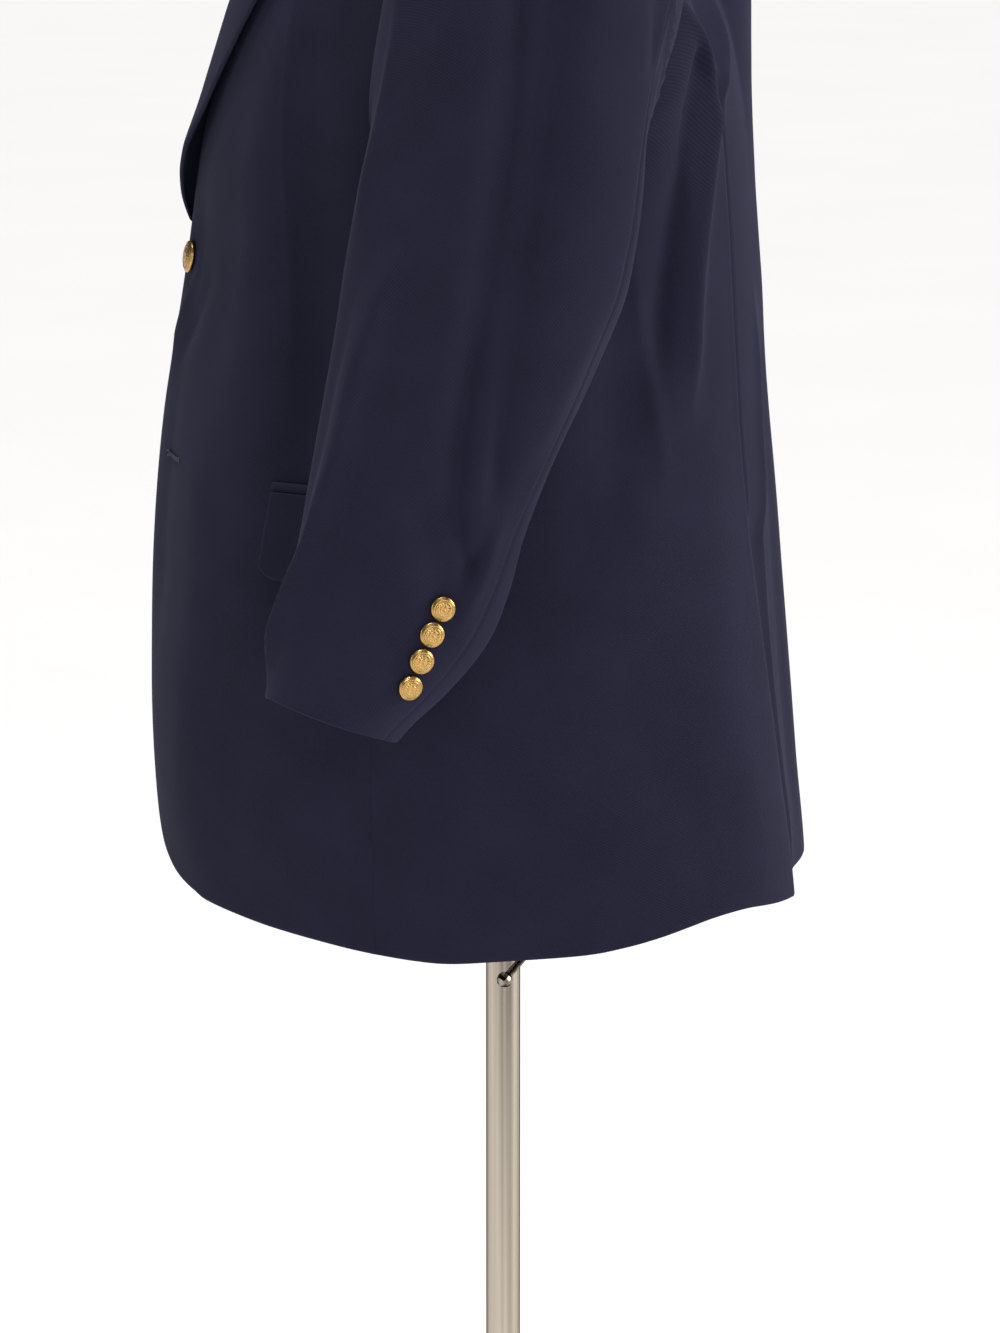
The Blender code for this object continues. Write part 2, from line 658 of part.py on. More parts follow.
def grid_object(name, grid, material, collection, side=1, wall=WALL, trims="", yoke_row=None, seam_top=0.0):
    """Cloth piece from a grid of points, rows first; trims names the edges cut back at a seam."""
    grid = np.array(grid, float)
    cut = np.full((len(grid), 1), SEAM_GAP / 2)
    if yoke_row is not None:
        cut[yoke_row:] = YOKE_SEAM_GAP / 2
    if "l" in trims:
        grid[:, 0] += cut * unit_rows(grid[:, 1] - grid[:, 0])
    if "r" in trims:
        grid[:, -1] += cut * unit_rows(grid[:, -2] - grid[:, -1])
    if "t" in trims:
        grid[-1] += YOKE_SEAM_GAP / 2 * unit_rows(grid[-2] - grid[-1])
    out = grid_normals(grid)
    if "l" in trims and seam_top:
        low = grid[:, 0, 2] < seam_top
        out[low, 0] = seam_directions(grid[low, 0])
    if "r" in trims and seam_top:
        low = grid[:, -1, 2] < seam_top
        out[low, -1] = seam_directions(grid[low, -1])
    if "t" in trims:
        seam = grid[-1, :, 0] > NECK_POINT[0] - 0.001
        out[-1, seam] = SHOULDER_DIRECTION
    points = np.concatenate([grid.reshape(-1, 3), (grid - wall * out).reshape(-1, 3)])
    points[:, 0] *= side
    rows, columns = grid.shape[:2]
    inner = rows * columns
    faces = []
    for r in range(rows - 1):
        for c in range(columns - 1):
            a, b, d = r * columns + c, r * columns + c + 1, (r + 1) * columns + c
            for face in ([a, b, d + 1], [a, d + 1, d]):
                faces += [face, [i + inner for i in face[::-1]]]
    rim = list(range(columns))
    rim += [r * columns + columns - 1 for r in range(1, rows)]
    rim += [(rows - 1) * columns + c for c in range(columns - 2, -1, -1)]
    rim += [r * columns for r in range(rows - 2, 0, -1)]
    for a, b in zip(rim, rim[1:] + rim[:1]):
        faces.append([b, a, a + inner, b + inner])
    if side < 0:
        faces = [face[::-1] for face in faces]
    mesh = bpy.data.meshes.new(name)
    mesh.from_pydata([tuple(p) for p in points], [], faces)
    mesh.shade_smooth()
    mesh.materials.append(material)
    collection.objects.link(bpy.data.objects.new(name, mesh))


def unit_rows(vectors):
    return vectors / np.linalg.norm(vectors, axis=1)[:, None]


def seamed(columns, margin=0.010):
    """Even steps from 0 to 1 with one narrow step at each end, which keeps the seam's edge true."""
    return [0.0, margin] + [c / columns for c in range(1, columns)] + [1 - margin, 1.0]


def panel_grid(base, columns, low_rows, high_rows, top_margin=0.04, **extra):
    rows = [i / low_rows for i in range(low_rows + 1)]
    rows += [1 + i / high_rows for i in range(1, high_rows)] + [2 - top_margin, 2.0]
    return [[base(u, v, **extra) for u in seamed(columns)] for v in rows]


def make_body(cloth, collection):
    """Fronts, side bodies and backs."""
    side_grid = panel_grid(side_base, 6, LOWER_ROWS, 4)
    back_grid = [row[::-1] for row in panel_grid(back_base, 6, LOWER_ROWS, YOKE_ROWS)]
    for side, label in ((1, "left"), (-1, "right")):
        front_grid = panel_grid(front_base, 8, LOWER_ROWS, YOKE_ROWS, under=side < 0)
        yoke = {"yoke_row": LOWER_ROWS + 1}
        grid_object(f"front_{label}", front_grid, cloth, collection, side, trims="rt",
                    seam_top=ARMHOLE_LOW[0].height + 0.001, **yoke)
        grid_object(f"side_{label}", side_grid, cloth, collection, side, trims="lr",
                    seam_top=ARMHOLE_BACK_HEIGHT + 0.001, **yoke)
        grid_object(f"back_{label}", back_grid, cloth, collection, side, trims="lrt",
                    seam_top=ARMHOLE_BACK_HEIGHT + 0.001, **yoke)


def make_sleeves(cloth, collection):
    """Top and under sleeves of both arms."""
    top_columns, under_columns = seamed(9), seamed(7)
    for side, label in ((1, "left"), (-1, "right")):
        top_grid, under_grid = [], []
        for length in sleeve_lengths():
            seam = back_seam_turn(length)
            low, high = seam - 1, SLEEVE_FRONT_SEAM
            top_grid.append([sleeve_point(high + (low - high) * c, length) for c in top_columns])
            low, high = SLEEVE_FRONT_SEAM, seam
            under_grid.append([sleeve_point(high + (low - high) * c, length) for c in under_columns])
        grid_object(f"sleeve_top_{label}", top_grid[::-1], cloth, collection, side, trims="lr")
        grid_object(f"sleeve_under_{label}", under_grid[::-1], cloth, collection, side, trims="lr")


def front_frame(height, across, under=False):
    """Point and normal of the front at a height, this far along it from the roll line."""
    v = front_row_at(height)
    row = [front_base(c / 40, v, under) for c in range(41)]
    at = along_points(row)
    length = np.linalg.norm(np.diff(row, axis=0), axis=1).sum()
    t = max(across / length, 0.0)
    step = 0.01
    point = at(t)
    along = at(min(t + step, 1)) - at(max(t - step, 0))
    t_up = min(v + 0.02, 2.0)
    up_row = along_points([front_base(c / 40, t_up, under) for c in range(41)])
    up = up_row(t) - point
    return point, unit(np.cross(along, up))


def front_row_at(height):
    """Row of the front whose roll edge has this height."""
    low, high = 0.0, 2.0
    for _ in range(30):
        mid = (low + high) / 2
        if front_base(0.0, mid)[2] < height:
            low = mid
        else:
            high = mid
    return (low + high) / 2


def make_lapels(cloth, collection):
    """Lapels on the fronts, turned back at the roll line."""
    for side, label in ((1, "left"), (-1, "right")):
        start = LAPEL[0].height if side > 0 else UNDER_LAPEL_START
        grid = []
        for height in np.linspace(start, LAPEL[-1].height, LAPEL_ROWS + 1):
            width, stand_off = lapel_size(height)
            covered = max(0.0015 - 2 * roll_across(height), 0.0) if side < 0 else 0.0
            row = []
            for c in range(LAPEL_COLUMNS + 1):
                across = covered + (width - covered) * c / LAPEL_COLUMNS
                drop = NOTCH_DROP * max(across / GORGE - 1, 0) * max(height - NOTCH_START, 0)
                drop /= LAPEL[-1].height - NOTCH_START
                point, normal = front_frame(height - drop, across, side < 0)
                lift = WALL + 2 * LAY_GAP + stand_off * math.sin(math.pi * 0.5 * across / width) ** 0.8
                row.append(point + normal * lift)
            grid.append(row)
        grid_object(f"lapel_{label}", grid, cloth, collection, side)


def make_collar(cloth, collection):
    """Stand and fall in one sheet, folded at the crest."""
    grid = []
    half = COLLAR_COLUMNS - 1
    for i in range(-half, half + 1):
        foot, crest, edge = collar_section(1 - abs(i) / half)
        mirror = np.array([math.copysign(1, i) if i else 1, 1, 1])
        row = []
        for t in np.linspace(0, 1, 4)[:-1]:
            row.append(foot + (crest - foot) * t)
        out = unit(edge - crest)
        row.append(crest + (crest - foot) * 0.06 + out * 0.002)
        for t in np.linspace(0.12, 1, 5):
            row.append(crest + (edge - crest) * t + np.array([0, 0, 0.004]) * math.sin(math.pi * t))
        grid.append([p * mirror for p in row])
    grid_object("collar", np.array(grid)[::-1], cloth, collection, 1, wall=COLLAR_WALL)


def make_pockets(cloth, collection):
    """Jets and flaps over the front and the side body."""
    places = np.linspace(POCKET_FRONT, POCKET_BACK, 9)
    for side, label in ((1, "left"), (-1, "right")):
        jet, flap = [], []
        for drop in (JET_HEIGHT, 0):
            jet.append([torso_point(s, POCKET_TOP - drop, JET_WALL + LAY_GAP) for s in places])
        for t in np.linspace(0, 1, 5):
            row = []
            for s in places:
                end = abs(2 * (s - POCKET_FRONT) / (POCKET_BACK - POCKET_FRONT) - 1)
                depth = FLAP_DEPTH * (1 - 0.12 * max(end - 0.82, 0) / 0.18)
                height = POCKET_TOP - JET_HEIGHT - FLAP_GAP - depth * (1 - t)
                row.append(torso_point(s, height, WALL + FLAP_LIFT))
            flap.append(row)
        grid_object(f"jet_{label}", jet, cloth, collection, side, wall=JET_WALL)
        grid_object(f"flap_{label}", flap, cloth, collection, side)


def turned(name, profile, sides, material, collection, closed=False):
    """Turned solid about the local Z axis; the profile runs down its outer side, from the top."""
    mesh = bpy.data.meshes.new(name)
    edges = [(i, i + 1) for i in range(len(profile) - 1)]
    if closed:
        edges.append((len(profile) - 1, 0))
    mesh.from_pydata([(r, 0, z) for r, z in profile], edges, [])
    piece = bpy.data.objects.new(name, mesh)
    collection.objects.link(piece)
    mesh.materials.append(material)
    screw = piece.modifiers.new("Turn", "SCREW")
    screw.steps = sides
    screw.render_steps = sides
    screw.use_merge_vertices = True
    screw.merge_threshold = 0.00005
    screw.use_smooth_shade = True
    return piece


def aim(piece, point, normal):
    """Put the piece at a point with its Z axis along the normal."""
    piece.location = Vector(point)
    piece.rotation_mode = "QUATERNION"
    piece.rotation_quaternion = Vector(normal).to_track_quat("Z", "Y")


def button_profile(diameter):
    r, h = diameter / 2, BUTTON_RISE
    return [(0, h), (0.45 * r, 0.97 * h), (0.80 * r, 0.78 * h), (0.97 * r, 0.48 * h), (r, 0.30 * h),
            (0.90 * r, 0.14 * h), (0.35 * r, 0.10 * h), (0.30 * r, 0), (0, 0)]


def make_buttons(brass, collection):
    for name, height, under in (("button_front_top", TOP_BUTTON_HEIGHT, False),
                                ("button_front_low", TOP_BUTTON_HEIGHT - BUTTON_SPACING, True)):
        lift = under_lap(0.0, height) + LAY_GAP if under else TOP_BUTTON_GAP
        place = LOW_BUTTON_PLACE if under else TOP_BUTTON_PLACE
        point = torso_point(place, height, lift)
        normal = section_normal(place, height)
        if under:
            point = point * np.array([-1, 1, 1])
            normal = normal * np.array([-1, 1, 1])
        button = turned(name, button_profile(FRONT_BUTTON), 18, brass, collection)
        aim(button, point, normal)
    for side, label in ((1, "left"), (-1, "right")):
        flip = np.array([side, 1, 1])
        for i, place in enumerate(CUFF_BUTTONS):
            point = sleeve_point(place.turn, place.length, place.lift)
            normal = sleeve_normal(place.turn, place.length)
            name = f"button_cuff_{label}_{i + 1}"
            button = turned(name, button_profile(CUFF_BUTTON), 14, brass, collection)
            aim(button, point * flip, normal * flip)


def sleeve_normal(turn, length):
    return unit(sleeve_point(turn, length, 0.01) - sleeve_point(turn, length))


def make_form(linen, collection):
    """Closed torso of the dress form with its neck."""
    rings = [ring.height for ring in FORM]
    points, faces = [], []
    for z in rings:
        front, back, half_width, square = form_ring(z)
        mid = (front + back) / 2
        for i in range(FORM_SIDES):
            angle = 2 * math.pi * i / FORM_SIDES
            x = half_width * math.copysign(abs(math.cos(angle)) ** (2 / square), math.cos(angle))
            y = mid + (back - mid) * math.copysign(abs(math.sin(angle)) ** (2 / square), math.sin(angle))
            points.append((x, y, z))
    for r in range(len(rings) - 1):
        for i in range(FORM_SIDES):
            j = (i + 1) % FORM_SIDES
            low, high = r * FORM_SIDES, (r + 1) * FORM_SIDES
            faces.append((low + i, low + j, high + j, high + i))
    faces.append(tuple(range(FORM_SIDES))[::-1])
    top = (len(rings) - 1) * FORM_SIDES
    faces.append(tuple(range(top, top + FORM_SIDES)))
    mesh = bpy.data.meshes.new("form_torso")
    mesh.from_pydata(points, [], faces)
    mesh.shade_smooth()
    mesh.materials.append(linen)
    piece = bpy.data.objects.new("form_torso", mesh)
    collection.objects.link(piece)


def ball_rod(name, start, end, material, collection):
    """Round bar between two points with a ball on each end."""
    length = np.linalg.norm(end - start)
    neck = math.sqrt(BALL_RADIUS ** 2 - BAR_RADIUS ** 2)
    turns = [math.pi * i / 6 for i in range(7)]
    ball = [(BALL_RADIUS * math.sin(a), BALL_RADIUS * math.cos(a)) for a in turns]
    profile = [(r, length + z) for r, z in ball if z > 0 or r > BAR_RADIUS * 1.2]
    profile += [(BAR_RADIUS, length - neck), (BAR_RADIUS, neck)]
    profile += [(r, z) for r, z in ball if z < 0 or r > BAR_RADIUS * 1.2]
    piece = turned(name, profile, 12, material, collection)
    aim(piece, start, unit(end - start))


def clamp_direction():
    angle = math.radians(CLAMP_AZIMUTH)
    return np.array([math.cos(angle), math.sin(angle), 0])


def make_stand(chrome, collection):
    """Base, telescopic pole, clamp and the socket under the form."""
    boss = BASE_HEIGHT + BOSS_HEIGHT
    plate = [(0, boss), (BOSS_RADIUS - 0.003, boss), (BOSS_RADIUS, boss - 0.003),
             (BOSS_RADIUS + 0.003, BASE_HEIGHT + 0.005), (BOSS_RADIUS + 0.030, BASE_HEIGHT),
             (BASE_RADIUS - 0.004, BASE_HEIGHT - 0.001), (BASE_RADIUS, BASE_HEIGHT - 0.004),
             (BASE_RADIUS, 0), (0, 0)]
    turned("base_plate", plate, 40, chrome, collection)
    low = boss + TOUCH
    tube = [(TUBE_BORE, TUBE_TOP), (TUBE_RADIUS, TUBE_TOP), (TUBE_RADIUS, low), (TUBE_BORE, low)]
    turned("stand_tube", tube, 32, chrome, collection, closed=True)
    mast = [(0, MAST_TOP), (MAST_RADIUS, MAST_TOP), (MAST_RADIUS, MAST_BOTTOM), (0, MAST_BOTTOM)]
    turned("mast_pole", mast, 32, chrome, collection)
    inner = TUBE_RADIUS + TOUCH
    outer = CLAMP_RADIUS
    top, bottom = CLAMP_HEIGHT + CLAMP_HALF, CLAMP_HEIGHT - CLAMP_HALF
    ring = [(inner, top), (outer - 0.0015, top), (outer, top - 0.0015), (outer, bottom + 0.0015),
            (outer - 0.0015, bottom), (inner, bottom)]
    turned("clamp_collar", ring, 32, chrome, collection, closed=True)
    away = clamp_direction()
    centre = np.array([0, 0, CLAMP_HEIGHT])
    knob = [(0, SCREW_LENGTH), (0.0060, SCREW_LENGTH), (0.0070, SCREW_LENGTH - 0.0010),
            (0.0070, 0.0100), (0.0040, 0.0085), (0.0040, 0), (0, 0)]
    screw = turned("clamp_screw", knob, 20, chrome, collection)
    aim(screw, centre + away * (CLAMP_RADIUS + TOUCH), away)
    head = centre + away * (CLAMP_RADIUS + TOUCH + SCREW_LENGTH + BAR_RADIUS + TOUCH)
    across = np.array([away[1], -away[0], 0])
    tilt = math.radians(BAR_TILT)
    along = across * math.cos(tilt) - np.array([0, 0, 1]) * math.sin(tilt)
    ball_rod("clamp_bar", head - along * BAR_UPPER, head + along * BAR_LOWER, chrome, collection)
    socket_top = FORM_BOTTOM - TOUCH
    socket_low = socket_top - SOCKET_HEIGHT
    flange = [(0, socket_top), (SOCKET_RADIUS, socket_top), (SOCKET_RADIUS, socket_top - 0.005),
              (0.017, socket_top - 0.008), (0.016, socket_low), (TUBE_BORE, socket_low),
              (TUBE_BORE, MAST_TOP + TOUCH), (0, MAST_TOP + TOUCH)]
    turned("form_socket", flange, 32, chrome, collection)


def main():
    clear_scene()
    collection = bpy.data.collections.new("blazer_on_dress_form")
    bpy.context.scene.collection.children.link(collection)
    cloth = make_material("navy_wool", (0.016, 0.016, 0.032), 0.85)
    brass = make_material("gilt_brass", (0.62, 0.42, 0.16), 0.35, 1.0)
    linen = make_material("form_linen", (0.62, 0.57, 0.49), 0.9)
    chrome = make_material("chromed_steel", (0.70, 0.69, 0.66), 0.18, 1.0)
    make_body(cloth, collection)
    make_lapels(cloth, collection)
    make_collar(cloth, collection)
    make_sleeves(cloth, collection)
    make_pockets(cloth, collection)
    make_buttons(brass, collection)
    make_form(linen, collection)
    make_stand(chrome, collection)


main()
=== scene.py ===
# Navy two-button blazer on a limbless dress form, in metres. The wearer faces -Y, with the left side at +X.
import math

import bpy
import numpy as np
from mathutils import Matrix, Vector


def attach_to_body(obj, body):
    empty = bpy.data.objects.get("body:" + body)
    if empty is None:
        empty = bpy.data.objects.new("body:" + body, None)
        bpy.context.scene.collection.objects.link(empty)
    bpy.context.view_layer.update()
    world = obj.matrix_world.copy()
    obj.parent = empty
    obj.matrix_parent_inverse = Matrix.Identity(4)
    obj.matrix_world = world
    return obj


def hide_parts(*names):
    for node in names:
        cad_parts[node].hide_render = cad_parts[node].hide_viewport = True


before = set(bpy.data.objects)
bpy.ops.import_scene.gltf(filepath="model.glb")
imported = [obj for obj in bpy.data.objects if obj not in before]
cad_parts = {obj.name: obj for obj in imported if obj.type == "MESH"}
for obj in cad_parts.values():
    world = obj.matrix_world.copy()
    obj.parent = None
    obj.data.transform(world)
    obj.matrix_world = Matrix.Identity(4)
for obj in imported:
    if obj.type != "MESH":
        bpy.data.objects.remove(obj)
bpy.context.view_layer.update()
bothSides = ((1, "left"), (-1, "right"))
print("frame loaded,", len(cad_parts), "nodes")


# materials
def linear(code):
    # "#rrggbb" in sRGB to linear red, green, blue, alpha
    parts = [int(code[i:i + 2], 16) / 255 for i in (1, 3, 5)]
    return [c / 12.92 if c <= 0.04045 else ((c + 0.055) / 1.055) ** 2.4 for c in parts] + [1.0]


def addNode(tree, kind, settings=None, links=None):
    node = tree.nodes.new(kind)
    for name, value in (settings or {}).items():
        if isinstance(name, str) and name in node.bl_rna.properties:
            setattr(node, name, value)
        else:
            node.inputs[name].default_value = value
    for name, socket in (links or {}).items():
        tree.links.new(socket, node.inputs[name])
    return node


def startMaterial(name, settings):
    material = bpy.data.materials.new(name)
    material.use_nodes = True
    tree = material.node_tree
    tree.nodes.clear()
    shader = addNode(tree, "ShaderNodeBsdfPrincipled", settings)
    addNode(tree, "ShaderNodeOutputMaterial", links={"Surface": shader.outputs["BSDF"]})
    return material, tree, shader


def ramp(tree, factor, stops):
    node = addNode(tree, "ShaderNodeValToRGB", links={"Fac": factor})
    while len(node.color_ramp.elements) < len(stops):
        node.color_ramp.elements.new(0.5)
    for element, (position, colour) in zip(node.color_ramp.elements, stops):
        element.position = position
        element.color = colour
    return node.outputs["Color"]


def addBump(tree, shader, height, strength, metres):
    bump = addNode(tree, "ShaderNodeBump", {"Strength": strength, "Distance": metres}, {"Height": height})
    tree.links.new(bump.outputs["Normal"], shader.inputs["Normal"])


def addRoughness(tree, shader, factor, limits):
    rough = addNode(tree, "ShaderNodeMapRange", {"To Min": limits[0], "To Max": limits[1]}, {"Value": factor})
    tree.links.new(rough.outputs["Result"], shader.inputs["Roughness"])


woolLook = {
    "dark": "#1a1a29", "mid": "#1f1f30", "light": "#27273c", "sheen": "#9a98c8",
    "ribMm": 1.5,       # real worsted twill has about 0.6 mm ribs; drawn coarser so that they show
    "ribTurn": 0.314,   # the wave texture comes round once in this share of its scale
    "ribLean": -52,     # degrees
    "blotchMm": 45.0,   # slow unevenness of steamed cloth
    "fluffMm": 2.2,
}


def makeWool(name, look):
    # Worsted wool twill, woven and steamed: matt, a fine diagonal rib, faint fluff and a soft sheen at the rims
    material, tree, shader = startMaterial(name, {
        "Roughness": 0.85, "Specular IOR Level": 0.10,
        "Sheen Weight": 0.05, "Sheen Roughness": 0.5, "Sheen Tint": linear(look["sheen"])})
    uv = addNode(tree, "ShaderNodeUVMap", {"uv_map": "grain"}).outputs["UV"]
    millimetres = (1000, 1000, 1000)
    leaning = addNode(tree, "ShaderNodeMapping", {
        "Scale": millimetres, "Rotation": (0, 0, math.radians(look["ribLean"]))}, {"Vector": uv})
    rib = addNode(tree, "ShaderNodeTexWave", {
        "wave_type": "BANDS", "bands_direction": "X", "Scale": look["ribTurn"] / look["ribMm"],
        "Distortion": 0.7, "Detail": 1.0, "Detail Scale": 1.5}, {"Vector": leaning.outputs["Vector"]})
    flat = addNode(tree, "ShaderNodeMapping", {"Scale": millimetres}, {"Vector": uv})
    blotch = addNode(tree, "ShaderNodeTexNoise", {
        "Scale": 1 / look["blotchMm"], "Detail": 2.0}, {"Vector": flat.outputs["Vector"]})
    fluff = addNode(tree, "ShaderNodeTexNoise", {
        "Scale": 1 / look["fluffMm"], "Detail": 3.0, "Roughness": 0.6}, {"Vector": flat.outputs["Vector"]})
    ribAndFluff = {0: rib.outputs["Fac"], 1: fluff.outputs["Fac"]}
    amount = addNode(tree, "ShaderNodeMath", {"operation": "MULTIPLY"}, ribAndFluff)
    slow = ramp(tree, blotch.outputs["Fac"], [(0.3, linear(look["dark"])), (0.7, linear(look["mid"]))])
    fine = addNode(tree, "ShaderNodeMixRGB", {"blend_type": "MIX", "Color2": linear(look["light"])},
                   {"Fac": amount.outputs["Value"], "Color1": slow})
    tree.links.new(fine.outputs["Color"], shader.inputs["Base Color"])
    height = addNode(tree, "ShaderNodeMath", {"operation": "ADD"}, ribAndFluff)
    addBump(tree, shader, height.outputs["Value"], 0.12, 0.0004)
    return material


threadLook = {"colour": "#2c2c42", "roughness": 0.55, "twist": 260.0}


def makeThread(name, look):
    # Polyester buttonhole thread, twisted: slightly glossier than the cloth
    material, tree, shader = startMaterial(
        name, {"Roughness": look["roughness"], "Base Color": linear(look["colour"])})
    place = addNode(tree, "ShaderNodeTexCoord").outputs["Object"]
    twist = addNode(tree, "ShaderNodeTexWave", {"Scale": look["twist"], "Distortion": 0.4}, {"Vector": place})
    addBump(tree, shader, twist.outputs["Fac"], 0.4, 0.0002)
    return material


brassLook = {
    "ground": "#4a3318", "raised": "#c9a566", "rubbed": "#b39c70", "rough": (0.18, 0.42), "grain": 420.0}


def makeBrass(name, look):
    # Gilt brass, stamped and lacquered: warm yellow, with painted shade darkening the sunk ground between the
    # raised rings
    material, tree, shader = startMaterial(name, {"Metallic": 1.0})
    place = addNode(tree, "ShaderNodeTexCoord").outputs["Object"]
    rub = addNode(tree, "ShaderNodeTexNoise", {"Scale": look["grain"], "Detail": 4.0}, {"Vector": place})
    edge = addNode(tree, "ShaderNodeNewGeometry")
    # painted shade: the hollows of the stamping, found by pointiness, are coloured dark
    relief = ramp(tree, edge.outputs["Pointiness"], [
        (0.42, linear(look["ground"])), (0.52, linear(look["raised"]))])
    tone = ramp(tree, rub.outputs["Fac"], [(0.35, linear(look["rubbed"])), (0.65, linear("#ffffff"))])
    # the rubbed tone multiplied with the painted shade in the hollows
    wornAndShaded = addNode(tree, "ShaderNodeMixRGB", {"blend_type": "MULTIPLY", "Fac": 0.35},
                   {"Color1": relief, "Color2": tone})
    tree.links.new(wornAndShaded.outputs["Color"], shader.inputs["Base Color"])
    addRoughness(tree, shader, rub.outputs["Fac"], look["rough"])
    return material


# on the pole the dark and light bands and the dark edge tint are painted reflection
poleLook = {
    "tint": "#4a4748", "scale": (120, 120, 1.0), "darkStreak": "#6b655d", "lightStreak": "#b5ac9d", "rough": (0.10, 0.22)}
plateLook = {
    "tint": "#ffffff", "scale": (400, 6, 6), "darkStreak": "#c9c4ba", "lightStreak": "#e0dcd4", "rough": (0.42, 0.56)}


def makeChrome(name, look):
    # Chromium plated steel. The pole is drawn and polished: near mirror with a warm cast. Its long narrow dark
    # and light bands are painted reflections, and its dark edge tint paints darker reflection at the rims. The
    # plate was brushed before plating and only gleams; its fine bands are the brushing.
    material, tree, shader = startMaterial(name, {"Metallic": 1.0, "Specular Tint": linear(look["tint"])})
    place = addNode(tree, "ShaderNodeTexCoord").outputs["Object"]
    stretch = addNode(tree, "ShaderNodeMapping", {"Scale": look["scale"]}, {"Vector": place})
    reflectionAndBrushStreaks = addNode(tree, "ShaderNodeTexNoise", {
        "Scale": 1.0, "Detail": 2.0}, {"Vector": stretch.outputs["Vector"]}).outputs["Fac"]
    # on the pole these bands are painted reflections; on the plate they are the brushing
    tone = ramp(tree, reflectionAndBrushStreaks, [(0.36, linear(look["darkStreak"])), (0.62, linear(look["lightStreak"]))])
    tree.links.new(tone, shader.inputs["Base Color"])
    addRoughness(tree, shader, reflectionAndBrushStreaks, look["rough"])
    return material


linenLook = {"shade": "#b9ab93", "light": "#d6cab4", "threads": 700}


def makeLinen(name, look):
    # Unbleached linen cover, plain woven and stretched over the form: uneven threads, small slubs, quite matt
    material, tree, shader = startMaterial(name, {"Roughness": 0.9, "Specular IOR Level": 0.25})
    place = addNode(tree, "ShaderNodeTexCoord").outputs["Object"]
    threads = addNode(tree, "ShaderNodeMapping", {"Scale": [look["threads"]] * 3}, {"Vector": place})
    threads = threads.outputs["Vector"]
    warp = addNode(tree, "ShaderNodeTexWave", {
        "Scale": 0.45, "Distortion": 1.2, "Detail": 2.0, "bands_direction": "Z"}, {"Vector": threads})
    slub = addNode(tree, "ShaderNodeTexNoise", {"Scale": 0.12, "Detail": 5.0}, {"Vector": threads}).outputs["Fac"]
    tone = ramp(tree, slub, [(0.3, linear(look["shade"])), (0.7, linear(look["light"]))])
    tree.links.new(tone, shader.inputs["Base Color"])
    weave = addNode(tree, "ShaderNodeMath", {"operation": "ADD"}, {0: warp.outputs["Fac"], 1: slub})
    addBump(tree, shader, weave.outputs["Value"], 0.35, 0.0005)
    return material


def makeFloor(name):
    # Matt white studio floor paint, rolled on: plain and pale, with no gloss
    material, tree, shader = startMaterial(name, {"Roughness": 0.9, "Specular IOR Level": 0.1})
    place = addNode(tree, "ShaderNodeTexCoord").outputs["Object"]
    mottle = addNode(tree, "ShaderNodeTexNoise", {"Scale": 2.0, "Detail": 3.0}, {"Vector": place})
    paint = ramp(tree, mottle.outputs["Fac"], [(0.3, linear("#f6f4f4")), (0.7, linear("#f8f6f6"))])
    tree.links.new(paint, shader.inputs["Base Color"])
    return material


wool = makeWool("worsted_wool_twill", woolLook)
holeThread = makeThread("buttonhole_twist_navy", threadLook)
brass = makeBrass("gilt_stamped_brass", brassLook)
chrome = makeChrome("polished_chrome_plated_steel", poleLook)
brushedChrome = makeChrome("brushed_chrome_plated_steel", plateLook)
linen = makeLinen("unbleached_linen_cover", linenLook)
floorPaint = makeFloor("matt_studio_floor_paint")
print("materials made")


# curves and patches that the cut is drawn with
def smoothCurve(keys, values):
    keys = np.asarray(keys, float)
    values = np.asarray(values, float)
    slopes = np.gradient(values, keys, axis=0)

    def at(key):
        key = min(max(key, keys[0]), keys[-1])
        i = min(int(np.searchsorted(keys, key, side="right")) - 1, len(keys) - 2)
        step = keys[i + 1] - keys[i]
        t = (key - keys[i]) / step
        start = (2 * t ** 3 - 3 * t ** 2 + 1) * values[i] + (t ** 3 - 2 * t ** 2 + t) * step * slopes[i]
        end = (3 * t ** 2 - 2 * t ** 3) * values[i + 1] + (t ** 3 - t ** 2) * step * slopes[i + 1]
        return start + end

    return at


def tableCurve(rows):
    # the first column is the key
    return smoothCurve([row[0] for row in rows], [list(row[1:]) for row in rows])


def ease(low, high, value):
    t = np.clip((value - low) / (high - low), 0.0, 1.0)
    return t * t * (3 - 2 * t)


def unit(vector):
    return vector / np.linalg.norm(vector)


def alongPoints(points):
    # 0..1 along a line of points, by its length
    points = np.asarray(points, float)
    steps = np.linalg.norm(np.diff(points, axis=0), axis=1)
    lengths = np.concatenate([[0.0], np.cumsum(steps)]) / steps.sum()

    def at(t):
        return np.array([np.interp(t, lengths, points[:, i]) for i in range(points.shape[1])])

    return at


def softStep(t):
    return t * t * (3 - 2 * t)


def patchPoint(u, v, left, right, low, high, blend=lambda t: t):
    # a point of the patch between four edges
    a, b = blend(u), blend(v)
    sides = (1 - a) * left(v) + a * right(v)
    ends = (1 - b) * low(u) + b * high(u)
    corners = (1 - b) * ((1 - a) * low(0) + a * low(1)) + b * ((1 - a) * high(0) + a * high(1))
    return sides + ends - corners


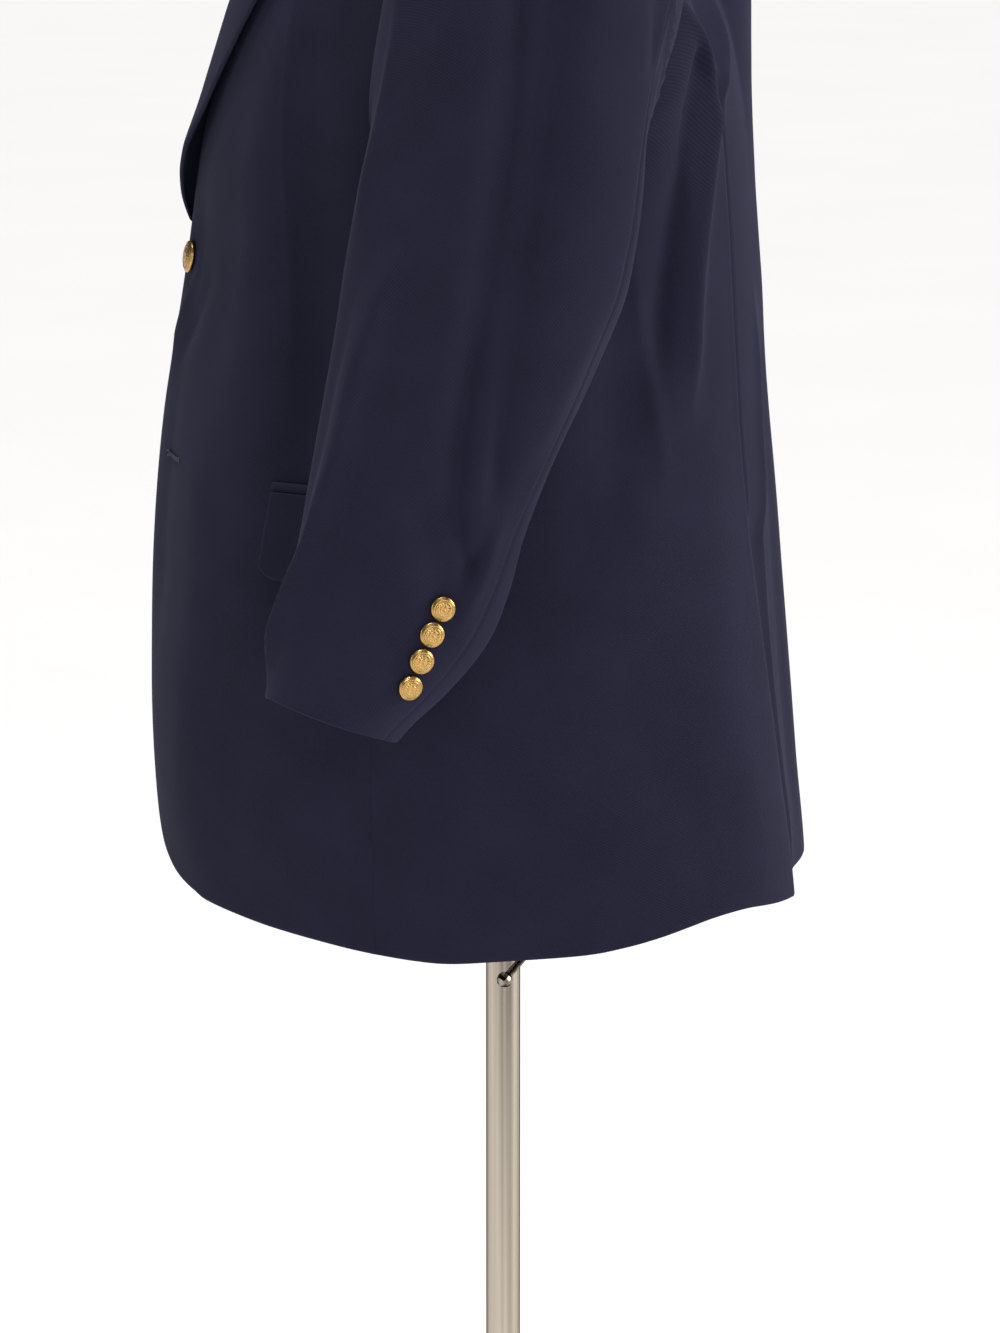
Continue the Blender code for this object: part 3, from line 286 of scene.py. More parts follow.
# body: sections of the coat, place 0 is the centre front and 1 the centre back
body = {
    # height, front, back, half width, squareness of the front and the back
    "sections": [
        (0.690, -0.2140, 0.1922, 0.2080, 2.10, 3.60), (0.750, -0.2185, 0.1876, 0.2070, 2.10, 3.50),
        (0.800, -0.2215, 0.1826, 0.2050, 2.10, 3.25), (0.860, -0.2222, 0.1778, 0.2020, 2.10, 2.85),
        (0.910, -0.2210, 0.1738, 0.1990, 2.10, 2.65), (0.960, -0.2175, 0.1698, 0.1960, 2.10, 2.50),
        (1.010, -0.2115, 0.1650, 0.1935, 2.10, 2.50), (1.060, -0.2025, 0.1608, 0.1915, 2.00, 2.55),
        (1.100, -0.1960, 0.1574, 0.1910, 1.95, 2.60), (1.160, -0.1875, 0.1540, 0.1930, 2.00, 2.60),
        (1.210, -0.1765, 0.1530, 0.1940, 2.15, 2.60), (1.260, -0.1635, 0.1528, 0.1930, 2.20, 2.60),
        (1.320, -0.1450, 0.1480, 0.1900, 2.20, 2.60)],
    "midDepth": -0.010,
    "yokeStart": 1.150,
    "sideSeam": 0.40,
    "wall": 0.0020,
    "seamGap": 0.0003,
    # how each cut is held, its width, length and area
    "frontCut": ("hung", 0.270, 0.836, 0.178),
    "sideCut": ("hung", 0.296, 0.606, 0.133),
    "backCut": ("hung", 0.268, 0.789, 0.121),
    # place and height at the top, place and height at the foot, half width in metres, depth (out is positive)
    "folds": [
        (0.205, 1.260, 0.215, 1.040, 0.020, 0.0020), (0.300, 1.230, 0.330, 0.900, 0.028, -0.0035),
        (0.770, 1.270, 0.700, 1.030, 0.022, 0.0035), (0.640, 1.150, 0.600, 0.960, 0.022, -0.0030),
        (0.950, 1.150, 0.955, 0.780, 0.018, 0.0022), (0.470, 0.900, 0.480, 0.720, 0.030, 0.0035),
        (0.640, 0.880, 0.650, 0.740, 0.030, -0.0030)],
    "foldScale": 0.62,
    # the fastened fronts draw back beside the edge: places where that starts, is full, ends and has gone; depth
    "tuck": (0.0, 0.075, 0.13, 0.28, -0.0060),
    "tuckHeights": (0.82, 0.92, 1.12, 1.18),
}
bodySection = tableCurve(body["sections"])


def lineFolds(rows, place, height, scale):
    # summed height of soft folds; works on numbers and on whole arrays
    total = 0.0
    for topPlace, top, lowPlace, low, halfWidth, depth in rows:
        t = (top - height) / (top - low)
        middle = topPlace + (lowPlace - topPlace) * t
        fade = ease(-0.25, 0.15, t) * (1 - ease(0.85, 1.25, t))
        total = total + depth * fade * np.exp(-((place - middle) * scale / halfWidth) ** 2)
    return total


def sectionPoint(place, height):
    front, back, halfWidth, frontSquare, backSquare = bodySection(height)
    angle = math.pi * place
    square, reach = (frontSquare, front) if place < 0.5 else (backSquare, back)
    across = halfWidth * math.copysign(abs(math.sin(angle)) ** (2 / square), math.sin(angle))
    depth = body["midDepth"] + (reach - body["midDepth"]) * abs(math.cos(angle)) ** (2 / square)
    return np.array([across, depth, height])


def placeOf(across, height):
    _, _, halfWidth, frontSquare, _ = bodySection(height)
    ratio = min(abs(across) / halfWidth, 1.0) ** (frontSquare / 2)
    return math.copysign(math.asin(ratio) / math.pi, across)


def sectionNormal(place, height):
    step = 0.004
    along = sectionPoint(place + step, height) - sectionPoint(place - step, height)
    up = sectionPoint(place, height + step) - sectionPoint(place, height - step)
    return unit(np.cross(along, up))


def frontTuck(place, height):
    start, full, hold, gone, depth = body["tuck"]
    low, lowFull, highFull, high = body["tuckHeights"]
    across = ease(start, full, abs(place)) * (1 - ease(hold, gone, abs(place)))
    return float(depth * across * ease(low, lowFull, height) * (1 - ease(highFull, high, height)))


def torsoPoint(place, height, lift=0.0):
    folds = lineFolds(body["folds"], place, height, body["foldScale"]) + frontTuck(place, height)
    return sectionPoint(place, height) + sectionNormal(place, height) * (folds + lift)


def seamPoints(placeAt, low, high, count):
    return [torsoPoint(placeAt(z), z) for z in np.linspace(low, high, count)]


# armhole, neck and shoulder lines
armhole = {
    "backHeight": 1.300,
    # turn, x, y, z
    "front": [
        (0.07, 0.2225, -0.0140, 1.4080), (0.15, 0.2050, -0.0420, 1.3480), (0.24, 0.1920, -0.0560, 1.2700)],
    "back": [(0.84, 0.1915, 0.0880, 1.3580), (0.92, 0.2165, 0.0590, 1.4090)],
    # turn, place, height
    "low": [(0.33, 0.40, 1.203), (0.42, 0.450, 1.190), (0.50, 0.500, 1.186), (0.58, 0.555, 1.195),
            (0.68, 0.615, 1.237), (0.76, 0.66, 1.300)],
    "neckPoint": (0.086, 0.014, 1.472),
    "shoulderPoint": (0.228, 0.020, 1.424),
    "backNeck": (0.0, 0.080, 1.480),
    "shoulderRound": 0.30,
    "shoulderPitch": 0.12,
}


def armholeCurve():
    rows = [(0.0, np.array(armhole["shoulderPoint"]))]
    rows += [(t, np.array([x, y, z])) for t, x, y, z in armhole["front"]]
    rows += [(t, torsoPoint(place, height)) for t, place, height in armhole["low"]]
    rows += [(t, np.array([x, y, z])) for t, x, y, z in armhole["back"]]
    turns = [t - 1 for t, _ in rows[-3:]] + [t for t, _ in rows] + [t + 1 for t, _ in rows[:3]]
    points = [p for _, p in rows[-3:]] + [p for _, p in rows] + [p for _, p in rows[:3]]
    return smoothCurve(turns, points)


armholeAt = armholeCurve()

frontCut = {
    "edgeOverlap": 0.020,
    "rollStart": 1.118,
    "rollEnd": (0.080, 1.462),
    "cornerHeight": 0.7440,
    # height, distance from the centre line
    "edge": [(0.7185, 0.1080), (0.7230, 0.0850), (0.7310, 0.0620), (0.7440, 0.0420), (0.7700, 0.0200),
             (0.8100, 0.0040), (0.8700, -0.0100), (0.9500, -0.0175), (1.0300, -0.0195), (1.118, -0.020)],
    # place, height
    "hem": [(0.10, 0.7210), (0.15, 0.7180), (0.25, 0.7130), (0.33, 0.7083), (0.40, 0.7030), (0.48, 0.6998),
            (0.54, 0.7055), (0.60, 0.7142), (0.66, 0.7225), (0.72, 0.7262), (0.80, 0.7240), (0.90, 0.7200)],
}
backCut = {
    "hem": 0.7335,
    # height, place of the seam between side body and back
    "seam": [(0.690, 0.870), (0.780, 0.856), (0.850, 0.845), (0.930, 0.830), (1.000, 0.824), (1.060, 0.824),
             (1.150, 0.822), (1.200, 0.806), (1.250, 0.762), (1.300, 0.66)],
    "ventInset": 0.0052,
    "ventUnderlap": 0.055,
    "ventTop": 0.969,
    "ventOpen": 0.939,
    "ventFull": 0.909,
}
frontEdge = tableCurve(frontCut["edge"])
hemHeight = tableCurve(frontCut["hem"])
backSeam = tableCurve(backCut["seam"])


def rollAcross(height):
    t = (height - frontCut["rollStart"]) / (frontCut["rollEnd"][1] - frontCut["rollStart"])
    return -frontCut["edgeOverlap"] + (frontCut["rollEnd"][0] + frontCut["edgeOverlap"]) * t


def frontCornerBoundary():
    heights = np.linspace(frontCut["cornerHeight"], frontCut["rollStart"], 40)
    left = [(placeOf(frontEdge(z)[0], z), z) for z in heights]
    rollHeights = np.linspace(frontCut["rollStart"], body["yokeStart"], 6)[1:]
    left += [(placeOf(rollAcross(z), z), z) for z in rollHeights]
    bottom = np.linspace(frontCut["cornerHeight"], frontCut["edge"][0][0], 14)
    low = [(placeOf(frontEdge(z)[0], z), z) for z in bottom]
    low += [(s, float(hemHeight(s)[0])) for s in np.linspace(low[-1][0] + 0.01, body["sideSeam"], 20)]
    return alongPoints(left), alongPoints(low)


def rollCurve():
    heights = np.linspace(body["yokeStart"], 1.300, 8)
    points = [sectionPoint(placeOf(rollAcross(z), z), z) for z in heights]
    last, neck = points[-1], np.array(armhole["neckPoint"])
    bend = np.array([0.0640, -0.0820, 1.4200])
    for t in np.linspace(0, 1, 9)[1:]:
        points.append((1 - t) ** 2 * last + 2 * t * (1 - t) * bend + t * t * neck)
    return alongPoints(points)


def joined(first, second, share):
    return lambda t: first(t / share) if t <= share else second((t - share) / (1 - share))


def shoulderSeam():
    neck, end = np.array(armhole["neckPoint"]), np.array(armhole["shoulderPoint"])
    dip = np.array([0, 0, 0.004])
    return alongPoints([neck + (end - neck) * t - dip * math.sin(math.pi * t) for t in np.linspace(0, 1, 17)])


def centreBack():
    mid = sectionPoint(1.0, 1.290)
    neck = np.array(armhole["backNeck"])
    bend = np.array([0.0, 0.1370, 1.4350])
    points = [sectionPoint(1.0, z) for z in np.linspace(body["yokeStart"], 1.290, 6)]
    points += [(1 - t) ** 2 * mid + 2 * t * (1 - t) * bend + t * t * neck for t in np.linspace(0, 1, 10)[1:]]
    return alongPoints(points)


def backTop():
    neck, side = np.array(armhole["backNeck"]), np.array(armhole["neckPoint"])
    bend = np.array([0.070, 0.076, 1.482])
    points = [(1 - t) ** 2 * neck + 2 * t * (1 - t) * bend + t * t * side for t in np.linspace(0, 1, 12)]
    seam = shoulderSeam()
    return alongPoints(points + [seam(t) for t in np.linspace(0, 1, 12)[1:]])


frontLeftEdge, frontLowEdge = frontCornerBoundary()
rollLine = rollCurve()
shoulderLine = shoulderSeam()
centreBackLine = centreBack()
backTopEdge = backTop()
sideSeamLine = alongPoints(seamPoints(lambda z: body["sideSeam"], body["yokeStart"], armhole["low"][0][2], 8))
backSeamLine = alongPoints(
    seamPoints(lambda z: float(backSeam(z)[0]), body["yokeStart"], armhole["backHeight"], 24))
sideTurn, backTurn = armhole["low"][0][0], armhole["low"][-1][0]


def armholeStretch(start, end, count):
    return alongPoints([armholeAt(t) for t in np.linspace(start, end, count)])


underArmEdge = armholeStretch(sideTurn, backTurn, 24)
frontOuterEdge = joined(sideSeamLine, armholeStretch(sideTurn, 0, 24), 0.25)
backOuterEdge = joined(backSeamLine, armholeStretch(backTurn, 1, 20), 0.5)


def underLap(across, height):
    # the right front lies in under the left one
    depth = 0.0034 + 0.0066 * (1 - ease(0.985, 1.070, height))
    return -depth * (1 - ease(0.026, 0.075, across)) * (1 - ease(1.20, 1.26, height))


def frontPlace(u, v):
    rollPlace = placeOf(rollAcross(body["yokeStart"]), body["yokeStart"])
    seam, top = body["sideSeam"], body["yokeStart"]
    return patchPoint(
        u, v, frontLeftEdge,
        lambda t: np.array([seam, hemHeight(seam)[0] * (1 - t) + top * t]),
        frontLowEdge,
        lambda t: np.array([rollPlace + (seam - rollPlace) * t, top]))


def overShoulder(patch, u, v, way):
    # the yoke turns over the shoulder so that front and back meet in one slope
    point = patch(u, v)
    start = 1 - armhole["shoulderRound"]
    if v <= start:
        return point
    step = 0.01
    slope = (patch(u, 1.0) - patch(u, 1.0 - step)) / step
    level = unit(np.array([slope[0] * 0.5, way * abs(slope[1]), abs(slope[1]) * armhole["shoulderPitch"]]))
    turn = level * np.linalg.norm(slope) - slope
    t = (v - start) / armhole["shoulderRound"]
    return point + turn * armhole["shoulderRound"] * (t ** 3 - t ** 2)


def frontYoke(u, v):
    rollPlace = placeOf(rollAcross(body["yokeStart"]), body["yokeStart"])
    return patchPoint(
        u, v, rollLine, frontOuterEdge,
        lambda t: torsoPoint(rollPlace + (body["sideSeam"] - rollPlace) * t, body["yokeStart"]),
        shoulderLine, softStep)


def backYoke(u, v):
    seam = float(backSeam(body["yokeStart"])[0])
    return patchPoint(
        u, v, centreBackLine, backOuterEdge,
        lambda t: torsoPoint(1 + (seam - 1) * t, body["yokeStart"]),
        backTopEdge, softStep)


def frontBase(u, v, under=False):
    # u from the front edge to the side seam, v 0..1 below and 1..2 above the yoke start
    if v <= 1:
        place, height = frontPlace(u, v)
        lift = underLap(sectionPoint(place, height)[0], height) if under else 0.0
        return torsoPoint(place, height, lift)
    point = overShoulder(frontYoke, u, v - 1, 1)
    if under:
        point = point + np.array([0, -1, 0]) * underLap(point[0], point[2])
    return point


def backInset(place, height):
    opened = 1 - ease(backCut["ventOpen"], backCut["ventTop"], height)
    return -backCut["ventInset"] * opened * (1 - ease(0.025, 0.110, place - float(backSeam(height)[0])))


def backBase(u, v):
    if v <= 1:
        height = backCut["hem"] + (body["yokeStart"] - backCut["hem"]) * v
        lap = backCut["ventUnderlap"] * (1 - ease(backCut["ventFull"], backCut["ventOpen"], height))
        outer = float(backSeam(height)[0]) - lap
        place = 1 + (outer - 1) * u
        return torsoPoint(place, height, backInset(place, height))
    return overShoulder(backYoke, u, v - 1, -1)


def sideBase(u, v):
    top, seam = body["yokeStart"], body["sideSeam"]
    if v <= 1:
        low = hemHeight(seam + (float(backSeam(0.72)[0]) - seam) * u)[0]
        height = low + (top - low) * v
        outer = float(backSeam(height)[0])
        return torsoPoint(seam + (outer - seam) * u, height)
    outer = float(backSeam(top)[0])
    return patchPoint(
        u, v - 1, sideSeamLine, backSeamLine,
        lambda t: torsoPoint(seam + (outer - seam) * t, top), underArmEdge, softStep)


# turning a coarse grid of the cut into fine cloth
def splineRows(grid, at):
    # Catmull-Rom through the rows of a grid, at fractional rows
    at = np.clip(np.asarray(at, float), 0, len(grid) - 1)
    i = np.minimum(at.astype(int), len(grid) - 2)
    t = (at - i).reshape((-1,) + (1,) * (grid.ndim - 1))
    padded = np.concatenate([[2 * grid[0] - grid[1]], grid, [2 * grid[-1] - grid[-2]]])
    p0, p1, p2, p3 = padded[i], padded[i + 1], padded[i + 2], padded[i + 3]
    return 0.5 * (2 * p1 + (p2 - p0) * t + (2 * p0 - 5 * p1 + 4 * p2 - p3) * t ** 2
                  + (3 * p1 - p0 - 3 * p2 + p3) * t ** 3)


def refine(grid, rows, columns):
    grid = splineRows(grid, rows)
    return splineRows(grid.transpose(1, 0, 2), columns).transpose(1, 0, 2)


def edgeSteps(count, fine):
    # even steps 0..1 with extra ones close to both ends, where hems and seams are
    extra = [0.0, 0.12 * fine, 0.3 * fine, 0.6 * fine]
    inner = list(np.linspace(fine, 1 - fine, count))
    return np.array(extra + inner + [1 - e for e in reversed(extra)])


def gridNormals(grid):
    normals = np.cross(np.gradient(grid, axis=1), np.gradient(grid, axis=0))
    return normals / np.linalg.norm(normals, axis=2)[:, :, None]


def edgeDistance(grid, edge):
    # distance in metres of each point from one edge of the grid: l, r, b or t
    axis = 1 if edge in "lr" else 0
    steps = np.linalg.norm(np.diff(grid, axis=axis), axis=2)
    if edge in "rt":
        steps = np.flip(steps, axis)
    total = np.cumsum(steps, axis)
    start = np.zeros_like(np.take(total, [0], axis))
    total = np.concatenate([start, total], axis)
    return np.flip(total, axis) if edge in "rt" else total


def grainUv(grid):
    # metres across and along the cloth, so that the weave keeps its real scale
    middle = grid.shape[1] // 2
    along = np.concatenate([[0], np.cumsum(np.linalg.norm(np.diff(grid[:, middle], axis=0), axis=1))])
    across = np.concatenate(
        [np.zeros((len(grid), 1)), np.cumsum(np.linalg.norm(np.diff(grid, axis=1), axis=2), axis=1)], axis=1)
    across = across - across[:, [middle]]
    return np.stack([across, np.repeat(along[:, None], grid.shape[1], 1)], axis=2)


clothEdge = {
    "rimRound": 0.0007,
    "grooveDeep": 0.0006, "grooveWide": 0.0011,                   # drawn in along a seam
    "rollHigh": 0.0002, "rollAway": 0.0035, "rollWide": 0.0020,   # the soft roll beside the seam
    "freeDeep": 0.0006, "freeWide": 0.0009,                       # a free edge is rounded off
}


def addPiece(name, data, material):
    data.materials.append(material)
    piece = bpy.data.objects.new(name, data)
    bpy.context.scene.collection.objects.link(piece)
    return piece


def attach(piece, node):
    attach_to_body(piece, "dressed_form")
    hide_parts(node)


def clothPiece(name, grid, side=1, wall=0.0020, seams="", lift=0.0, free="", node=None):
    # a wall of cloth under a fine grid, with rounded free edges and drawn-in seams
    grid = np.array(grid, float)
    out = gridNormals(grid)
    lift = np.zeros(grid.shape[:2]) + lift
    for edge in seams:
        near = edgeDistance(grid, edge)
        lift = (lift - clothEdge["grooveDeep"] * np.exp(-(near / clothEdge["grooveWide"]) ** 2)
                + clothEdge["rollHigh"] * np.exp(-((near - clothEdge["rollAway"]) / clothEdge["rollWide"]) ** 2))
    for edge in free:
        near = edgeDistance(grid, edge)
        lift = lift - clothEdge["freeDeep"] * np.exp(-(near / clothEdge["freeWide"]) ** 2)
    face = grid + out * lift[:, :, None]
    out = gridNormals(face)
    uv = grainUv(grid)
    rows, columns = grid.shape[:2]
    rim = [(0, c) for c in range(columns)] + [(r, columns - 1) for r in range(1, rows)]
    rim += [(rows - 1, c) for c in range(columns - 2, -1, -1)] + [(r, 0) for r in range(rows - 2, 0, -1)]
    back = face - out * wall
    towards = []
    for r, c in rim:
        inward = np.zeros(3)
        if r == 0:
            inward += unit(face[1, c] - face[0, c])
        if r == rows - 1:
            inward += unit(face[-2, c] - face[-1, c])
        if c == 0:
            inward += unit(face[r, 1] - face[r, 0])
        if c == columns - 1:
            inward += unit(face[r, -2] - face[r, -1])
        towards.append(unit(inward))
    middle = np.array(
        [(face[r, c] + back[r, c]) / 2 - t * clothEdge["rimRound"] for (r, c), t in zip(rim, towards)])
    points = np.concatenate([face.reshape(-1, 3), back.reshape(-1, 3), middle])
    points[:, 0] *= side
    inner, mids = rows * columns, 2 * rows * columns
    r, c = np.meshgrid(np.arange(rows - 1), np.arange(columns - 1), indexing="ij")
    a = (r * columns + c).ravel()
    quads = np.stack([a, a + 1, a + columns + 1, a + columns], 1)
    faces = [quads, quads[:, ::-1] + inner]
    loop = np.array([i * columns + j for i, j in rim])
    after = np.roll(loop, -1)
    m = mids + np.arange(len(rim))
    mAfter = np.roll(m, -1)
    faces += [np.stack([after, loop, m, mAfter], 1), np.stack([mAfter, m, loop + inner, after + inner], 1)]
    faces = np.concatenate(faces)
    if side < 0:
        faces = faces[:, ::-1]
    mesh = bpy.data.meshes.new(name)
    mesh.from_pydata(points.tolist(), [], faces.tolist())
    flatUv = np.concatenate([uv.reshape(-1, 2), uv.reshape(-1, 2), np.array([uv[i, j] for i, j in rim])])
    if side < 0:
        flatUv = flatUv * np.array([-1, 1])
    layer = mesh.uv_layers.new(name="grain")
    corners = np.zeros(len(mesh.loops), int)
    mesh.loops.foreach_get("vertex_index", corners)
    layer.data.foreach_set("uv", flatUv[corners].astype(np.float32).ravel())
    mesh.shade_smooth()
    piece = addPiece(name, mesh, wool)
    attach(piece, node)


def trimmed(grid, edges):
    # drawn back by half the gap between two pieces at a seam
    grid = np.array(grid, float)
    rims = ("l", np.s_[:, 0], np.s_[:, 1]), ("r", np.s_[:, -1], np.s_[:, -2]), ("t", -1, -2)
    for edge, rim, inside in rims:
        if edge in edges:
            step = grid[inside] - grid[rim]
            grid[rim] += body["seamGap"] / 2 * step / np.linalg.norm(step, axis=1)[:, None]
    return grid


def coarsePanel(base, columns, lowRows, highRows, **extra):
    rows = [i / lowRows for i in range(lowRows + 1)] + [1 + i / highRows for i in range(1, highRows + 1)]
    return np.array([[base(c / columns, v, **extra) for c in range(columns + 1)] for v in rows])


# fine creases of the hanging cloth, on top of the cut's own folds
creases = {
    # line of place and height from the foot up, half width in metres, depth (out is positive), round of the tip
    "body": [
        ([(0.285, 1.060), (0.225, 1.275)], 0.0035, 0.0007, 0.0006),       # dart, pressed flat
        ([(0.330, 0.990), (0.262, 1.270)], 0.0200, -0.0036, 0.0080),      # hollow in front of the sleeve
        ([(0.722, 1.040), (0.739, 1.112), (0.773, 1.175), (0.844, 1.268)], 0.0075, 0.0034, 0.0012),
        ([(0.672, 1.060), (0.695, 1.120), (0.728, 1.180), (0.790, 1.268)], 0.0130, -0.0060, 0.0040),
        ([(0.676, 1.000), (0.667, 1.037), (0.645, 1.125)], 0.0060, 0.0012, 0.0010),
        ([(0.630, 1.000), (0.620, 1.080), (0.610, 1.150)], 0.0160, -0.0022, 0.0070),
        ([(0.890, 0.740), (0.874, 0.858), (0.885, 0.988), (0.900, 1.070)], 0.0060, 0.0017, 0.0010),
        ([(0.935, 0.760), (0.930, 0.900), (0.940, 1.060)], 0.0130, -0.0022, 0.0050),
        ([(0.012, 1.052), (0.062, 1.092)], 0.0060, 0.0016, 0.0012),       # pull from the fastened button
        ([(0.040, 1.040), (0.110, 1.088)], 0.0100, -0.0018, 0.0040),
        ([(0.620, 0.790), (0.600, 0.880)], 0.0240, -0.0024, 0.0100),
        ([(0.760, 0.740), (0.745, 0.900), (0.750, 1.000)], 0.0200, 0.0016, 0.0100),
        ([(0.470, 0.730), (0.480, 0.860)], 0.0200, 0.0018, 0.0100),
        ([(0.160, 0.740), (0.170, 0.900), (0.165, 1.000)], 0.0220, 0.0018, 0.0100),
        ([(0.240, 0.730), (0.235, 0.880)], 0.0160, -0.0014, 0.0080),
    ],
    "bodyEnd": 0.035,
    "mirrorShift": 0.012, "mirrorShare": 0.85,   # the hidden side hangs a little differently
    "strength": 1.7,
    "edge": 1.3,   # 1 is a tent with a sharp ridge, 2 a soft roll
    # the same for sleeves: turn and metres down from the sleeve head's foot
    "sleeve": [
        ([(0.112, 0.035), (0.122, 0.063), (0.135, 0.108), (0.137, 0.152), (0.148, 0.182), (0.165, 0.220),
          (0.195, 0.250), (0.235, 0.285)], 0.0110, 0.0058, 0.0004),
        ([(0.075, 0.030), (0.085, 0.110), (0.090, 0.180), (0.110, 0.230)], 0.0160, -0.0014, 0.0080),
        ([(-0.039, -0.110), (-0.039, -0.046), (-0.035, -0.008), (-0.034, 0.027), (-0.059, 0.088),
          (-0.095, 0.152)], 0.0075, -0.0042, 0.0018),
        ([(0.010, -0.080), (-0.001, -0.002), (-0.004, 0.052), (-0.012, 0.097), (-0.036, 0.147),
          (-0.050, 0.169), (-0.092, 0.196)], 0.0070, -0.0044, 0.0016),
        ([(-0.103, 0.186), (-0.096, 0.206)], 0.0050, -0.0036, 0.0010),
        ([(-0.125, 0.170), (-0.118, 0.225)], 0.0070, 0.0016, 0.0015),
        ([(-0.170, -0.115), (-0.205, -0.077), (-0.285, -0.060)], 0.0045, 0.0020, 0.0008),
        ([(-0.150, -0.100), (-0.180, -0.062), (-0.240, -0.040)], 0.0070, -0.0018, 0.0020),
        ([(0.160, -0.100), (0.165, -0.066), (0.191, -0.030), (0.205, 0.010)], 0.0090, 0.0020, 0.0012),
        ([(-0.150, 0.060), (-0.135, 0.130)], 0.0110, 0.0014, 0.0040),
        ([(0.480, 0.110), (0.440, 0.190)], 0.0110, -0.0020, 0.0040),
        ([(0.560, 0.060), (0.540, 0.180)], 0.0130, 0.0016, 0.0050),
        ([(0.640, -0.040), (0.620, 0.090)], 0.0130, -0.0020, 0.0050),
    ],
    "sleeveEnd": 0.022,
    "sleeveScale": 0.44,
}


def placeField(grid):
    # place round the body of every point of a grid, as the inverse of the section
    heights = np.array([row[0] for row in body["sections"]])
    front, back, halfWidth, frontSquare, backSquare = [
        np.interp(grid[:, :, 2], heights, [row[k] for row in body["sections"]]) for k in range(1, 6)]
    ahead = grid[:, :, 1] < body["midDepth"]
    square = np.where(ahead, frontSquare, backSquare)
    reach = np.where(ahead, body["midDepth"] - front, back - body["midDepth"])
    sine = (np.abs(grid[:, :, 0]) / halfWidth) ** (square / 2)
    cosine = (np.abs(grid[:, :, 1] - body["midDepth"]) / reach) ** (square / 2)
    return np.arctan2(sine, np.where(ahead, cosine, -cosine)) / math.pi


def creaseLift(rows, across, along, scale, end):
    # each line bends with its points; its profile is a tent with a rounded tip
    total = np.zeros_like(along)
    for line, halfWidth, depth, tip in rows:
        keys = [point[1] for point in line]
        bend = smoothCurve(keys, [[point[0]] for point in line])
        steps = np.linspace(keys[0], keys[-1], 60)
        middle = np.interp(along, steps, [bend(step)[0] for step in steps])
        away = np.sqrt(((across - middle) * scale) ** 2 + tip ** 2) - tip
        fade = ease(keys[0] - end, keys[0] + end, along) * (1 - ease(keys[-1] - end, keys[-1] + end, along))
        total += depth * fade * np.exp(-(away / halfWidth) ** creases["edge"])
    return total * creases["strength"]


def softWaves(grid, size, depth, seed):
    # slow uneven swelling of soft cloth
    x, y, z = grid[:, :, 0], grid[:, :, 1], grid[:, :, 2]
    total = np.sin(x / size * 1.3 + seed) * np.sin(z / size + 1.7 * seed)
    drift = 0.6 * np.sin(z / size * 0.7)
    total += 0.7 * np.sin(y / size * 1.1 + 2.3 * seed + drift) * np.cos(z / size * 0.8 + seed)
    return depth * total


def bodyLift(grid, side, seed, seams):
    place = placeField(grid) + (0.0 if side > 0 else creases["mirrorShift"])
    lift = creaseLift(creases["body"], place, grid[:, :, 2], body["foldScale"], creases["bodyEnd"])
    lift = lift * (1.0 if side > 0 else creases["mirrorShare"]) + softWaves(grid, 0.060, 0.0004, seed)
    for edge in seams:
        lift = lift * ease(0.0, 0.008, edgeDistance(grid, edge))
    return lift


def makeBody():
    frontRows, frontColumns = edgeSteps(170, 0.012), edgeSteps(110, 0.020)
    sideRows, sideColumns = edgeSteps(150, 0.012), edgeSteps(76, 0.020)
    backRows, backColumns = edgeSteps(170, 0.012), edgeSteps(84, 0.020)
    for side, label in bothSides:
        seed = 1.0 if side > 0 else 4.3
        grid = refine(coarsePanel(frontBase, 32, 30, 22, under=side < 0), frontRows * 52, frontColumns * 32)
        grid = trimmed(grid, "rt")
        clothPiece(f"front_panel_{label}", grid, side, seams="t", free="lb",
                   lift=bodyLift(grid, side, seed, "rt"), node=f"front_{label}")
        grid = refine(coarsePanel(sideBase, 14, 26, 10), sideRows * 36, sideColumns * 14)
        grid = trimmed(grid, "lr")
        clothPiece(f"side_body_{label}", grid, side, seams="r", free="b",
                   lift=bodyLift(grid, side, seed + 1, "lr"), node=f"side_{label}")
        grid = refine(coarsePanel(backBase, 16, 26, 22)[:, ::-1], backRows * 48, backColumns * 16)
        grid = trimmed(grid, "lrt")
        clothPiece(f"back_panel_{label}", grid, side, seams="lrt", free="b",
                   lift=bodyLift(grid, side, seed + 2, "lrt"), node=f"back_{label}")


makeBody()
print("body panels made")

